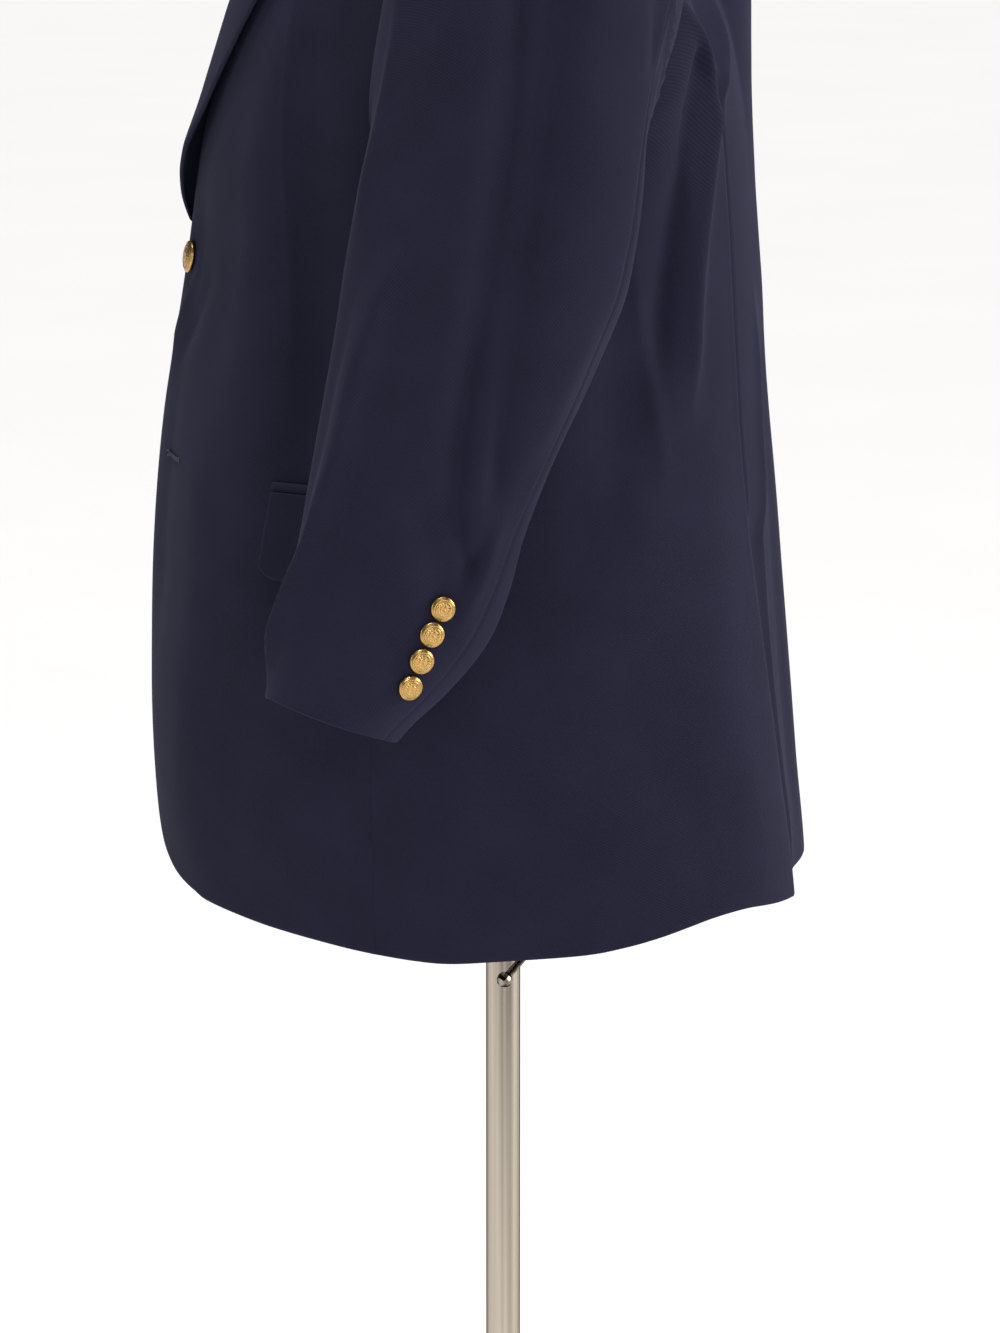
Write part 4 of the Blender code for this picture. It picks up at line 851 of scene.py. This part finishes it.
# sleeves
sleeve = {
    # length, front y z, back y z, centre x, half thickness
    "rings": [
        (0.000, -0.0835, 1.1720, 0.0776, 1.1460, 0.2480, 0.0430),
        (0.042, -0.0905, 1.1320, 0.0700, 1.1060, 0.2495, 0.0420),
        (0.085, -0.0968, 1.0900, 0.0540, 1.0620, 0.2500, 0.0410),
        (0.130, -0.1045, 1.0480, 0.0350, 1.0180, 0.2500, 0.0400),
        (0.172, -0.1125, 1.0060, 0.0172, 0.9750, 0.2505, 0.0390),
        (0.212, -0.1195, 0.9680, 0.0042, 0.9360, 0.2520, 0.0385),
        (0.244, -0.1265, 0.9380, -0.0110, 0.9040, 0.2545, 0.0395),
        (0.274, -0.1325, 0.9080, -0.0355, 0.8755, 0.2570, 0.0420),
        (0.296, -0.1372, 0.8880, -0.0545, 0.8580, 0.2590, 0.0440),
        (0.310, -0.1397, 0.8745, -0.0636, 0.8474, 0.2600, 0.0450)],
    "end": 0.310,
    "frontSeam": 0.33,
    "backSeamTop": 0.800,
    "backSeamCuff": 0.862,
    # turn and length at the top, turn and length at the foot, half width, depth
    "folds": [
        (-0.015, -0.120, -0.015, 0.170, 0.045, -0.0040), (-0.015, 0.170, -0.095, 0.240, 0.035, -0.0045),
        (0.140, 0.060, 0.150, 0.250, 0.030, 0.0030), (0.780, 0.060, 0.740, 0.200, 0.040, -0.0035),
        (0.560, 0.020, 0.520, 0.180, 0.045, -0.0035)],
    "topCut": ("hung", 0.412, 0.617, 0.1215),
    "underCut": ("hung", 0.286, 0.563, 0.0743),
    "headMetres": 0.14,
    "hemRise": 0.0085,   # the pressed cuff hangs straighter than its ring
}
sleeveRing = tableCurve(sleeve["rings"])


def sleeveAxisRing(length, turn):
    frontY, frontZ, backY, backZ, centreX, halfThick = sleeveRing(length)
    centre = np.array([centreX, (frontY + backY) / 2, (frontZ + backZ) / 2])
    forward = np.array([0, (frontY - backY) / 2, (frontZ - backZ) / 2])
    out = np.array([halfThick, 0, 0])
    angle = 2 * math.pi * turn
    return centre + out * math.cos(angle) + forward * math.sin(angle)


def sleeveBase(turn, length):
    # length is -1 at the armhole, 0 at the first ring, then metres; turn 0 outside, 0.25 front, 0.5 inside
    if length >= 0:
        return sleeveAxisRing(length, turn)
    t = 1 + length
    start = armholeAt(turn % 1.0) + np.array([0.0016, 0, 0])
    end = sleeveAxisRing(0.0, turn)
    down = sleeveAxisRing(0.02, turn) - end
    low = 0.5 - 0.5 * math.cos(2 * math.pi * turn)
    radial = np.array([0, -math.sin(2 * math.pi * turn), math.cos(2 * math.pi * turn)])
    leave = unit(np.array([0.95 - 0.55 * low, 0, 0]) + radial * (0.02 + 0.50 * low))
    reach = np.linalg.norm(end - start)
    startPull = leave * reach * 1.1
    endPull = unit(down) * reach * 1.2
    sweep = math.sin(2 * math.pi * turn)
    fullness = (0.24 - 0.085 * sweep) * sweep ** 2 * t * (1 - t) ** 2 * (0.56 - t)
    return ((2 * t ** 3 - 3 * t ** 2 + 1) * start + (t ** 3 - 2 * t ** 2 + t) * startPull
            + (3 * t ** 2 - 2 * t ** 3) * end + (t ** 3 - t ** 2) * endPull + radial * fullness)


def sleeveFoldSum(rows, turn, length):
    metres = length if length >= 0 else length * sleeve["headMetres"]
    total = 0.0
    for topTurn, topLength, lowTurn, lowLength, halfWidth, depth in rows:
        near = turn - round(turn - topTurn)
        total += lineFolds([(topTurn, -topLength, lowTurn, -lowLength, halfWidth, depth)], near, -metres, 1.0)
    return total * float(ease(-1, -0.6, length))


def sleevePoint(turn, length, lift=0.0):
    step = 0.01
    low = min(length + step, sleeve["end"])
    across = sleeveBase(turn + step, length) - sleeveBase(turn - step, length)
    down = sleeveBase(turn, low) - sleeveBase(turn, low - 2 * step)
    normal = unit(np.cross(across, down))
    return sleeveBase(turn, length) + normal * (sleeveFoldSum(sleeve["folds"], turn, length) + lift)


def backSeamTurn(length):
    metres = max(length, 0) / sleeve["end"]
    return sleeve["backSeamTop"] + (sleeve["backSeamCuff"] - sleeve["backSeamTop"]) * metres


def sleeveNormal(turn, length):
    return unit(sleevePoint(turn, length, 0.01) - sleevePoint(turn, length))


def coarseSleeve(start, end, columns):
    lengths = list(np.linspace(-1, 0, 17))[:-1] + list(np.linspace(0, sleeve["end"], 37))
    rows = []
    for length in lengths[::-1]:
        low, high = start(length), end(length)
        row = []
        for c in range(columns + 1):
            turn = low + (high - low) * c / columns
            rise = sleeve["hemRise"] * max(math.cos(2 * math.pi * turn), 0) ** 0.7
            hemmed = length - rise * max(length / sleeve["end"], 0) ** 6
            row.append(list(sleevePoint(turn, hemmed)) + [turn, length])
        rows.append(row)
    return np.array(rows)


def makeSleeves():
    rows = edgeSteps(150, 0.012)
    top = coarseSleeve(lambda s: sleeve["frontSeam"], lambda s: backSeamTurn(s) - 1, 26)
    under = coarseSleeve(backSeamTurn, lambda s: sleeve["frontSeam"], 22)
    kinds = ("top", top, edgeSteps(84, 0.020)), ("under", under, edgeSteps(62, 0.022))
    for side, label in bothSides:
        for kind, coarse, columns in kinds:
            count = coarse.shape[1] - 1
            grid = refine(coarse, rows * (len(coarse) - 1), columns * count)
            turn, length = grid[:, :, 3], grid[:, :, 4]
            grid = trimmed(grid[:, :, :3], "lr")
            metres = np.where(length >= 0, length, length * sleeve["headMetres"])
            around = (turn + 0.35) % 1.0 - 0.35 + (0.0 if side > 0 else 0.010)
            lift = creaseLift(creases["sleeve"], around, metres, creases["sleeveScale"], creases["sleeveEnd"])
            lift += softWaves(grid, 0.045, 0.0004, 2.0 + side)
            lift *= ease(0.0, 0.010, edgeDistance(grid, "l")) * ease(0.0, 0.010, edgeDistance(grid, "r"))
            lift *= ease(0.0, 0.012, edgeDistance(grid, "t"))
            clothPiece(f"sleeve_{kind}_piece_{label}", grid, side, seams="lrt", free="b",
                       lift=lift, node=f"sleeve_{kind}_{label}")


makeSleeves()
print("sleeves made")

# lapels and collar
lapel = {
    # height on the roll line, width, how far the free edge stands off
    "rows": [(1.119, 0.004, 0.0030), (1.140, 0.014, 0.0070), (1.165, 0.029, 0.0095), (1.200, 0.047, 0.0065),
             (1.250, 0.066, 0.0045), (1.310, 0.080, 0.0040), (1.360, 0.088, 0.0035), (1.402, 0.088, 0.0035)],
    "leftCut": ("folded", 0.102, 0.333, 0.0222),
    "rightCut": ("folded", 0.101, 0.285, 0.0209),
    "gorge": 0.045, "notchDrop": 0.022, "notchStart": 1.330, "underStart": 1.158, "layGap": 0.0004,
    "rollRadius": 0.0025, "rollMiddle": 0.0003,   # the cloth turns round the roll line in one soft bend
}
lapelSize = tableCurve(lapel["rows"])


frontRowCache = {}


def frontRow(v, under):
    key = (round(v, 5), under)
    if key not in frontRowCache:
        points = np.array([frontBase(c / 40, v, under) for c in range(41)])
        frontRowCache[key] = (alongPoints(points), np.linalg.norm(np.diff(points, axis=0), axis=1).sum())
    return frontRowCache[key]


rowHeights = np.array([[frontBase(0.0, v)[2], v] for v in np.linspace(0.2, 2.0, 120)])


def frontFrame(height, across, under=False):
    v = float(np.interp(height, rowHeights[:, 0], rowHeights[:, 1]))
    at, length = frontRow(v, under)
    t = max(across / length, 0.0)
    step = 0.01
    along = at(min(t + step, 1)) - at(max(t - step, 0))
    up = frontRow(min(v + 0.02, 2.0), under)[0](t) - at(t)
    return at(t), unit(np.cross(along, up))


def makeLapels():
    for side, label in bothSides:
        start = lapel["rows"][0][0] if side > 0 else lapel["underStart"]
        end = lapel["rows"][-1][0]
        coarse = []
        for height in np.linspace(start, end, 34):
            width, standOff = lapelSize(height)
            covered = max(0.0015 - 2 * rollAcross(height), 0.0) if side < 0 else 0.0
            point, normal = frontFrame(height, 0.0, side < 0)
            along = unit(frontFrame(height, 0.004, side < 0)[0] - point)
            roll = lapel["rollRadius"] * (1 if covered == 0 else 0.08)
            row = [point + normal * (lapel["rollMiddle"] + roll * math.sin(a)) - along * roll * math.cos(a)
                   for a in np.radians(np.linspace(-75, 60, 6))]
            if covered:
                row = [p + along * covered for p in row]
            for c in range(13):
                across = covered + (width - covered) * c / 12
                past = max(across / lapel["gorge"] - 1, 0)
                drop = lapel["notchDrop"] * past * max(height - lapel["notchStart"], 0)
                drop /= end - lapel["notchStart"]
                point, normal = frontFrame(height - drop, across, side < 0)
                swell = math.sin(math.pi * 0.5 * across / width) ** 0.8
                row.append(point + normal * (body["wall"] + 2 * lapel["layGap"] + standOff * swell))
            coarse.append(row)
        coarse = np.array(coarse)
        grid = refine(coarse, edgeSteps(84, 0.02) * 33, edgeSteps(52, 0.03) * 18)
        lift = softWaves(grid, 0.040, 0.0004, 3.0 + side)
        clothPiece(f"lapel_facing_{label}", grid, side, free="lrbt", lift=lift,
                   node=f"lapel_{label}")


collar = {
    # along from the front end to the centre back; foot of the stand, crest, fall edge
    "rows": [
        (0.00, (0.0585, -0.0795, 1.4045), (0.0630, -0.0812, 1.4085), (0.1048, -0.0741, 1.3908)),
        (0.20, (0.0680, -0.0430, 1.4410), (0.0705, -0.0480, 1.4560), (0.1118, -0.0463, 1.4279)),
        (0.40, (0.0790, -0.0080, 1.4660), (0.0765, -0.0090, 1.4860), (0.1113, -0.0074, 1.4622)),
        (0.60, (0.0790, 0.0330, 1.4790), (0.0750, 0.0300, 1.5050), (0.1051, 0.0431, 1.4653)),
        (0.80, (0.0500, 0.0660, 1.4830), (0.0470, 0.0610, 1.5120), (0.0674, 0.0912, 1.4678)),
        (1.00, (0.0000, 0.0760, 1.4850), (0.0000, 0.0710, 1.5140), (0.0000, 0.1060, 1.4670))],
    "wall": 0.0026,
    "cut": ("folded", 0.088, 0.562, 0.0363),
}
collarSection = smoothCurve([row[0] for row in collar["rows"]], [list(row[1:]) for row in collar["rows"]])


def makeCollar():
    coarse = []
    for i in range(-24, 25):
        foot, crest, edge = collarSection(1 - abs(i) / 24)
        mirror = np.array([math.copysign(1, i) if i else 1, 1, 1])
        row = [foot + (crest - foot) * t for t in np.linspace(0, 1, 4)[:-1]]
        row.append(crest + (crest - foot) * 0.06 + unit(edge - crest) * 0.002)
        row += [crest + (edge - crest) * t + np.array([0, 0, 0.004]) * math.sin(math.pi * t)
                for t in np.linspace(0.12, 1, 5)]
        coarse.append([p * mirror for p in row])
    grid = refine(np.array(coarse)[::-1], edgeSteps(170, 0.01) * 48, edgeSteps(40, 0.05) * 8)
    clothPiece("collar_leaf", grid, 1, wall=collar["wall"], free="lrbt",
               lift=softWaves(grid, 0.05, 0.0003, 5.0), node="collar")


makeLapels()
makeCollar()
print("lapels and collar made")

# pockets
pocket = {
    "top": 0.9845, "front": 0.289, "back": 0.507, "slant": 0.008,
    "jet": 0.0060, "jetOff": 0.0016, "jetRoll": 0.0006, "jetWall": 0.0012,
    "jetCut": ("folded", 0.010, 0.147, 0.00094),
    "depth": 0.052, "flapOff": 0.0027, "flapRoll": 0.0014, "flapGap": 0.0005,
    "flapCut": ("hung", 0.150, 0.053, 0.0077),
    "cornerStart": 0.82, "cornerCut": 0.12,   # the flap's lower corners are rounded off
}


def makePockets():
    places = np.linspace(pocket["front"], pocket["back"], 25)
    for side, label in bothSides:
        jet = []
        for t in np.linspace(0, 1, 5):
            off = pocket["jetOff"] + pocket["jetRoll"] * math.sin(math.pi * t)
            jet.append([torsoPoint(s, pocket["top"] - pocket["jet"] * (1 - t), off) for s in places])
        grid = refine(np.array(jet), np.linspace(0, 4, 13), edgeSteps(70, 0.01) * 24)
        clothPiece(f"pocket_jet_{label}", grid, side, wall=pocket["jetWall"], free="lrbt",
                   node=f"jet_{label}")
        flap = []
        for t in np.linspace(0, 1, 13):
            row = []
            for s in places:
                end = abs(2 * (s - pocket["front"]) / (pocket["back"] - pocket["front"]) - 1)
                past = max(end - pocket["cornerStart"], 0) / 0.18
                depth = pocket["depth"] * (1 - pocket["cornerCut"] * past ** 2)
                lift = pocket["flapOff"] + pocket["flapRoll"] * math.sin(math.pi * 0.5 * (1 - t))
                across = s - pocket["slant"] * (1 - t)
                height = pocket["top"] - pocket["jet"] - pocket["flapGap"] - depth * (1 - t)
                row.append(torsoPoint(across, height, lift))
            flap.append(row)
        grid = refine(np.array(flap), edgeSteps(30, 0.04) * 12, edgeSteps(80, 0.02) * 24)
        clothPiece(f"pocket_flap_{label}", grid, side, free="lrb",
                   lift=softWaves(grid, 0.02, 0.0003, 2.5), node=f"flap_{label}")


makePockets()
print("pockets made")


# turned pieces: buttons
def spun(name, profile, sides, material):
    # profile is radius and height from the top down
    onAxis = 1e-7
    points, faces = [], []
    for radius, z in profile:
        if radius < onAxis:
            points.append((0, 0, z))
        else:
            points += [(radius * math.cos(2 * math.pi * i / sides), radius * math.sin(2 * math.pi * i / sides), z)
                       for i in range(sides)]
    start = 0
    for (r0, _), (r1, _) in zip(profile, profile[1:]):
        n0 = 1 if r0 < onAxis else sides
        for i in range(sides):
            j = (i + 1) % sides
            a, b = (start, start) if n0 == 1 else (start + i, start + j)
            c, d = (start + n0, start + n0) if r1 < onAxis else (start + n0 + j, start + n0 + i)
            faces.append([a, d, c] if n0 == 1 else ([a, c, b] if r1 < onAxis else [a, d, c, b]))
        start += n0
    mesh = bpy.data.meshes.new(name)
    mesh.from_pydata(points, [], faces)
    mesh.shade_smooth()
    return addPiece(name, mesh, material)


def turnTo(piece, direction, axis):
    piece.rotation_mode = "QUATERNION"
    piece.rotation_quaternion = Vector(direction).to_track_quat(axis, "Y")


button = {
    "front": 0.020, "cuff": 0.015, "rise": 0.0045, "sides": 96,
    "topHeight": 1.102, "spacing": 0.127, "topPlace": 0.032, "lowPlace": 0.002,
    # turn and length on the sleeve, from the cuff's edge upwards
    "cuffPlaces": [(-0.0876, 0.2683), (-0.0760, 0.2536), (-0.0712, 0.2390), (-0.0740, 0.2242)],
    # generic stamped relief: where it lies from the middle to the rim, its width and its height in metres
    "rings": [(0.78, 0.035, 0.00030), (0.62, 0.03, 0.00018)],
    "flutes": (0.70, 0.035, 0.00014), "fluteCount": 32,
    "petals": (0.42, 0.10, 0.00022), "petalCount": 12,
}


def raised(t, shape):
    middle, width, height = shape
    return height * math.exp(-((t - middle) / width) ** 2)


def buttonProfile(diameter):
    # domed face with raised rings, rolled rim and a shank behind
    r, h = diameter / 2, button["rise"]
    rows = []
    for t in np.linspace(0, 0.86, 40):
        dome = h * (1.0 - 0.30 * t ** 2.2)
        ring = raised(t, button["rings"][0]) + raised(t, button["rings"][1])
        boss = 0.00032 * (1 - ease(0.26, 0.36, t)) - 0.00020 * math.exp(-(t / 0.10) ** 2)
        rows.append((t * r, dome + ring + float(boss)))
    rows += [(0.90 * r, 0.74 * h), (0.95 * r, 0.70 * h), (0.985 * r, 0.58 * h), (r, 0.44 * h),
             (0.985 * r, 0.30 * h), (0.93 * r, 0.20 * h), (0.80 * r, 0.15 * h), (0.35 * r, 0.12 * h),
             (0.26 * r, 0.08 * h), (0.26 * r, 0), (0, 0)]
    return rows


def reliefButton(name, diameter, node, point, normal):
    # fluted band between the rings and a plain rosette
    piece = spun(name, buttonProfile(diameter), button["sides"], brass)
    for vertex in piece.data.vertices:
        x, y, z = vertex.co
        t = math.hypot(x, y) / (diameter / 2)
        if z > 0.5 * button["rise"]:
            angle = math.atan2(y, x)
            flute = raised(t, button["flutes"]) * math.cos(button["fluteCount"] * angle)
            petal = raised(t, button["petals"]) * abs(math.cos(button["petalCount"] / 2 * angle))
            vertex.co.z = z + flute + petal
    piece.location = Vector(point)
    turnTo(piece, normal, "Z")
    attach(piece, node)


def makeButtons():
    for name, node, under in (("front_button_top", "button_front_top", False),
                              ("front_button_low", "button_front_low", True)):
        height = button["topHeight"] - (button["spacing"] if under else 0)
        place = button["lowPlace"] if under else button["topPlace"]
        lift = underLap(0.0, height) + 0.0004 if under else 0.0003
        point = torsoPoint(place, height, lift)
        step = torsoPoint(place + 0.02, height) - torsoPoint(place - 0.02, height)
        normal = unit(np.cross(step, torsoPoint(place, height + 0.008) - torsoPoint(place, height - 0.008)))
        if under:
            point, normal = point * np.array([-1, 1, 1]), normal * np.array([-1, 1, 1])
        reliefButton(name, button["front"], node, point, normal)
    for side, label in bothSides:
        flip = np.array([side, 1, 1])
        for i, (turn, length) in enumerate(button["cuffPlaces"]):
            reliefButton(f"cuff_button_{label}_{i + 1}", button["cuff"], f"button_cuff_{label}_{i + 1}",
                         sleevePoint(turn, length, 0.0004) * flip, sleeveNormal(turn, length) * flip)


makeButtons()
print("buttons made")

# the free buttonhole on the left front
hole = {
    "height": 0.9825, "eyeAcross": 0.038, "endAcross": 0.066, "lipWidth": 0.00055, "eyeRadius": 0.0016,
    "eyeLong": 2.2, "eyeSweep": 260, "stitches": 110, "bead": 0.00018,
    "purlRadius": 0.00050, "barRadius": 0.0007, "barHalf": 0.0022,
    "lipShare": 0.42, "eyeShare": 0.16,   # of the thread's length, for one lip and for the eye
}


def sewnThread(name, points, radius):
    curve = bpy.data.curves.new(name, "CURVE")
    curve.dimensions = "3D"
    curve.bevel_depth = radius
    curve.bevel_resolution = 1
    curve.use_fill_caps = True
    spline = curve.splines.new("POLY")
    spline.points.add(len(points) - 1)
    for p, co in zip(spline.points, points):
        p.co = (*co, 1.0)
    piece = addPiece(name, curve, holeThread)
    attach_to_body(piece, "dressed_form")
    return piece


def makeButtonhole():
    def at(across, height):
        return torsoPoint(placeOf(across, height), height, 0.0006)

    lips = []
    span = hole["endAcross"] - hole["eyeAcross"]
    lip, eye = hole["lipShare"], hole["eyeShare"]
    for i in range(hole["stitches"] + 1):
        t = i / hole["stitches"]
        bead = hole["bead"] * (1 if i % 2 else -1)
        if t < lip:
            lips.append(at(hole["endAcross"] - span * t / lip, hole["height"] + hole["lipWidth"] + bead))
        elif t < lip + eye:
            angle = math.radians(hole["eyeSweep"] * (0.5 - (t - lip) / eye)) + math.pi
            lips.append(at(hole["eyeAcross"] + hole["eyeRadius"] * math.cos(angle) * hole["eyeLong"],
                           hole["height"] - hole["eyeRadius"] * math.sin(angle) + bead))
        else:
            back = (t - lip - eye) / (1 - lip - eye)
            lips.append(at(hole["eyeAcross"] + span * back, hole["height"] - hole["lipWidth"] + bead))
    heights = np.linspace(-hole["barHalf"], hole["barHalf"], 7)
    bar = [at(hole["endAcross"] + 0.0006, hole["height"] + d) for d in heights]
    return [sewnThread("buttonhole_purl", lips, hole["purlRadius"]),
            sewnThread("buttonhole_bar", bar, hole["barRadius"])]


holeThreads = makeButtonhole()
print("buttonhole sewn")

# dress form and stand
formShape = {
    # height, front, back, half width, squareness
    "rings": [
        (0.862, -0.118, 0.112, 0.150, 2.3), (0.868, -0.126, 0.120, 0.158, 2.3),
        (0.920, -0.128, 0.124, 0.162, 2.3), (0.990, -0.116, 0.112, 0.152, 2.3),
        (1.060, -0.108, 0.100, 0.142, 2.3), (1.120, -0.114, 0.106, 0.150, 2.3),
        (1.190, -0.124, 0.114, 0.162, 2.3), (1.250, -0.122, 0.114, 0.167, 2.3),
        (1.310, -0.098, 0.104, 0.171, 2.3), (1.360, -0.068, 0.088, 0.174, 2.2),
        (1.395, -0.044, 0.070, 0.172, 2.1), (1.420, -0.029, 0.058, 0.164, 2.0),
        (1.4422, -0.024, 0.054, 0.143, 2.0), (1.4588, -0.025, 0.053, 0.1065, 2.0),
        (1.4675, -0.030, 0.053, 0.0760, 2.0), (1.480, -0.040, 0.053, 0.065, 2.0),
        (1.520, -0.046, 0.052, 0.060, 2.0), (1.565, -0.050, 0.050, 0.059, 2.0),
        (1.570, -0.046, 0.046, 0.055, 2.0)],
    "sides": 112, "between": 6, "seamDeep": 0.0007, "seamWide": 0.9,
}


def makeForm():
    rings = formShape["rings"]
    heights = [r[0] for r in rings]
    shape = np.array([r[1:] for r in rings])
    steps = formShape["between"] + 1
    levels = [np.linspace(a, b, steps)[:-1] for a, b in zip(heights, heights[1:])]
    levels = np.concatenate(levels + [[heights[-1]]])
    points, faces = [], []
    n = formShape["sides"]
    for z in levels:
        front, back, halfWidth, square = [np.interp(z, heights, shape[:, k]) for k in range(4)]
        mid = (front + back) / 2
        for i in range(n):
            angle = 2 * math.pi * i / n
            ca, sa = math.cos(angle), math.sin(angle)
            away = (i + n // 4) % (n // 2) - n // 4
            deep = math.exp(-(away / formShape["seamWide"]) ** 2) if i % 2 == 0 else 0.0
            seam = formShape["seamDeep"] * deep
            x = (halfWidth - seam) * math.copysign(abs(ca) ** (2 / square), ca)
            y = mid + (back - mid - seam) * math.copysign(abs(sa) ** (2 / square), sa)
            points.append((x, y, z))
    for r in range(len(levels) - 1):
        for i in range(n):
            j = (i + 1) % n
            faces.append((r * n + i, r * n + j, (r + 1) * n + j, (r + 1) * n + i))
    faces.append(tuple(range(n))[::-1])
    top = (len(levels) - 1) * n
    faces.append(tuple(range(top, top + n)))
    mesh = bpy.data.meshes.new("form_cover")
    mesh.from_pydata(points, [], faces)
    mesh.shade_smooth()
    mesh.set_sharp_from_angle(angle=math.radians(50))
    piece = addPiece("form_cover", mesh, linen)
    attach(piece, "form_torso")


makeForm()
for nodeName in ("form_socket", "mast_pole", "stand_tube", "clamp_collar", "clamp_screw", "clamp_bar",
                 "base_plate"):
    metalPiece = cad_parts[nodeName]
    metalPiece.data.materials.clear()
    metalPiece.data.materials.append(brushedChrome if nodeName == "base_plate" else chrome)
print("form and stand dressed")

# floor, light and camera
studio = {
    "floorHalf": 60.0, "worldStrength": 0.12, "worldColour": "#fdfbf8",
    # name, kind, place, aimed at, power, size in metres or the sun's width in degrees
    "lights": [
        ("floor_light", "SUN", (-4.0, 0.0, 9.0), (-4.0, 0.0, 0.0), 2.90, (20,)),
        ("front_softbox", "AREA", (1.3, -3.0, 1.9), (0, -0.1, 1.0), 15, (1.0, 1.6)),
        ("side_softbox", "AREA", (4.2, 1.4, 3.0), (0, 0, 1.0), 42, (1.6, 1.6)),
        ("back_softbox", "AREA", (0.3, 3.2, 1.9), (0, 0.1, 1.0), 60, (1.2, 1.8)),
        ("strip_softbox", "AREA", (2.9, 0.75, 0.9), (0, 0, 0.8), 9, (0.10, 1.7))],
}


def makeStudio():
    mesh = bpy.data.meshes.new("studio_floor")
    h = studio["floorHalf"]
    mesh.from_pydata([(-h, -h, 0), (h, -h, 0), (h, h, 0), (-h, h, 0)], [], [(0, 1, 2, 3)])
    addPiece("studio_floor", mesh, floorPaint)
    world = bpy.data.worlds.new("studio_world")
    bpy.context.scene.world = world
    world.use_nodes = True
    background = world.node_tree.nodes["Background"]
    background.inputs["Color"].default_value = linear(studio["worldColour"])
    background.inputs["Strength"].default_value = studio["worldStrength"]


def addLight(name, kind, place, target, power, size):
    data = bpy.data.lights.new(name, kind)
    data.energy = power
    if kind == "AREA":
        data.shape = "RECTANGLE"
        data.size, data.size_y = size
    else:
        data.angle = math.radians(size[0])
    lamp = bpy.data.objects.new(name, data)
    lamp.location = place
    turnTo(lamp, Vector(target) - Vector(place), "-Z")
    bpy.context.scene.collection.objects.link(lamp)


camera = {"height": 0.8384, "down": 12.0, "distance": 3.4, "lens": 145.08, "forward": -0.002}


def makeCamera():
    data = bpy.data.cameras.new("photo_camera")
    data.lens = camera["lens"]
    data.sensor_width = 36.0
    data.clip_end = 200.0
    tilt = math.radians(camera["down"])
    view = bpy.data.objects.new("photo_camera", data)
    view.location = (camera["distance"] * math.cos(tilt), camera["forward"],
                     camera["height"] + camera["distance"] * math.sin(tilt))
    turnTo(view, (-math.cos(tilt), 0, -math.sin(tilt)), "-Z")
    bpy.context.scene.collection.objects.link(view)
    bpy.context.scene.camera = view


makeStudio()
for row in studio["lights"]:
    addLight(*row)
makeCamera()
bpy.context.scene.view_settings.view_transform = "Standard"
bpy.context.view_layer.update()
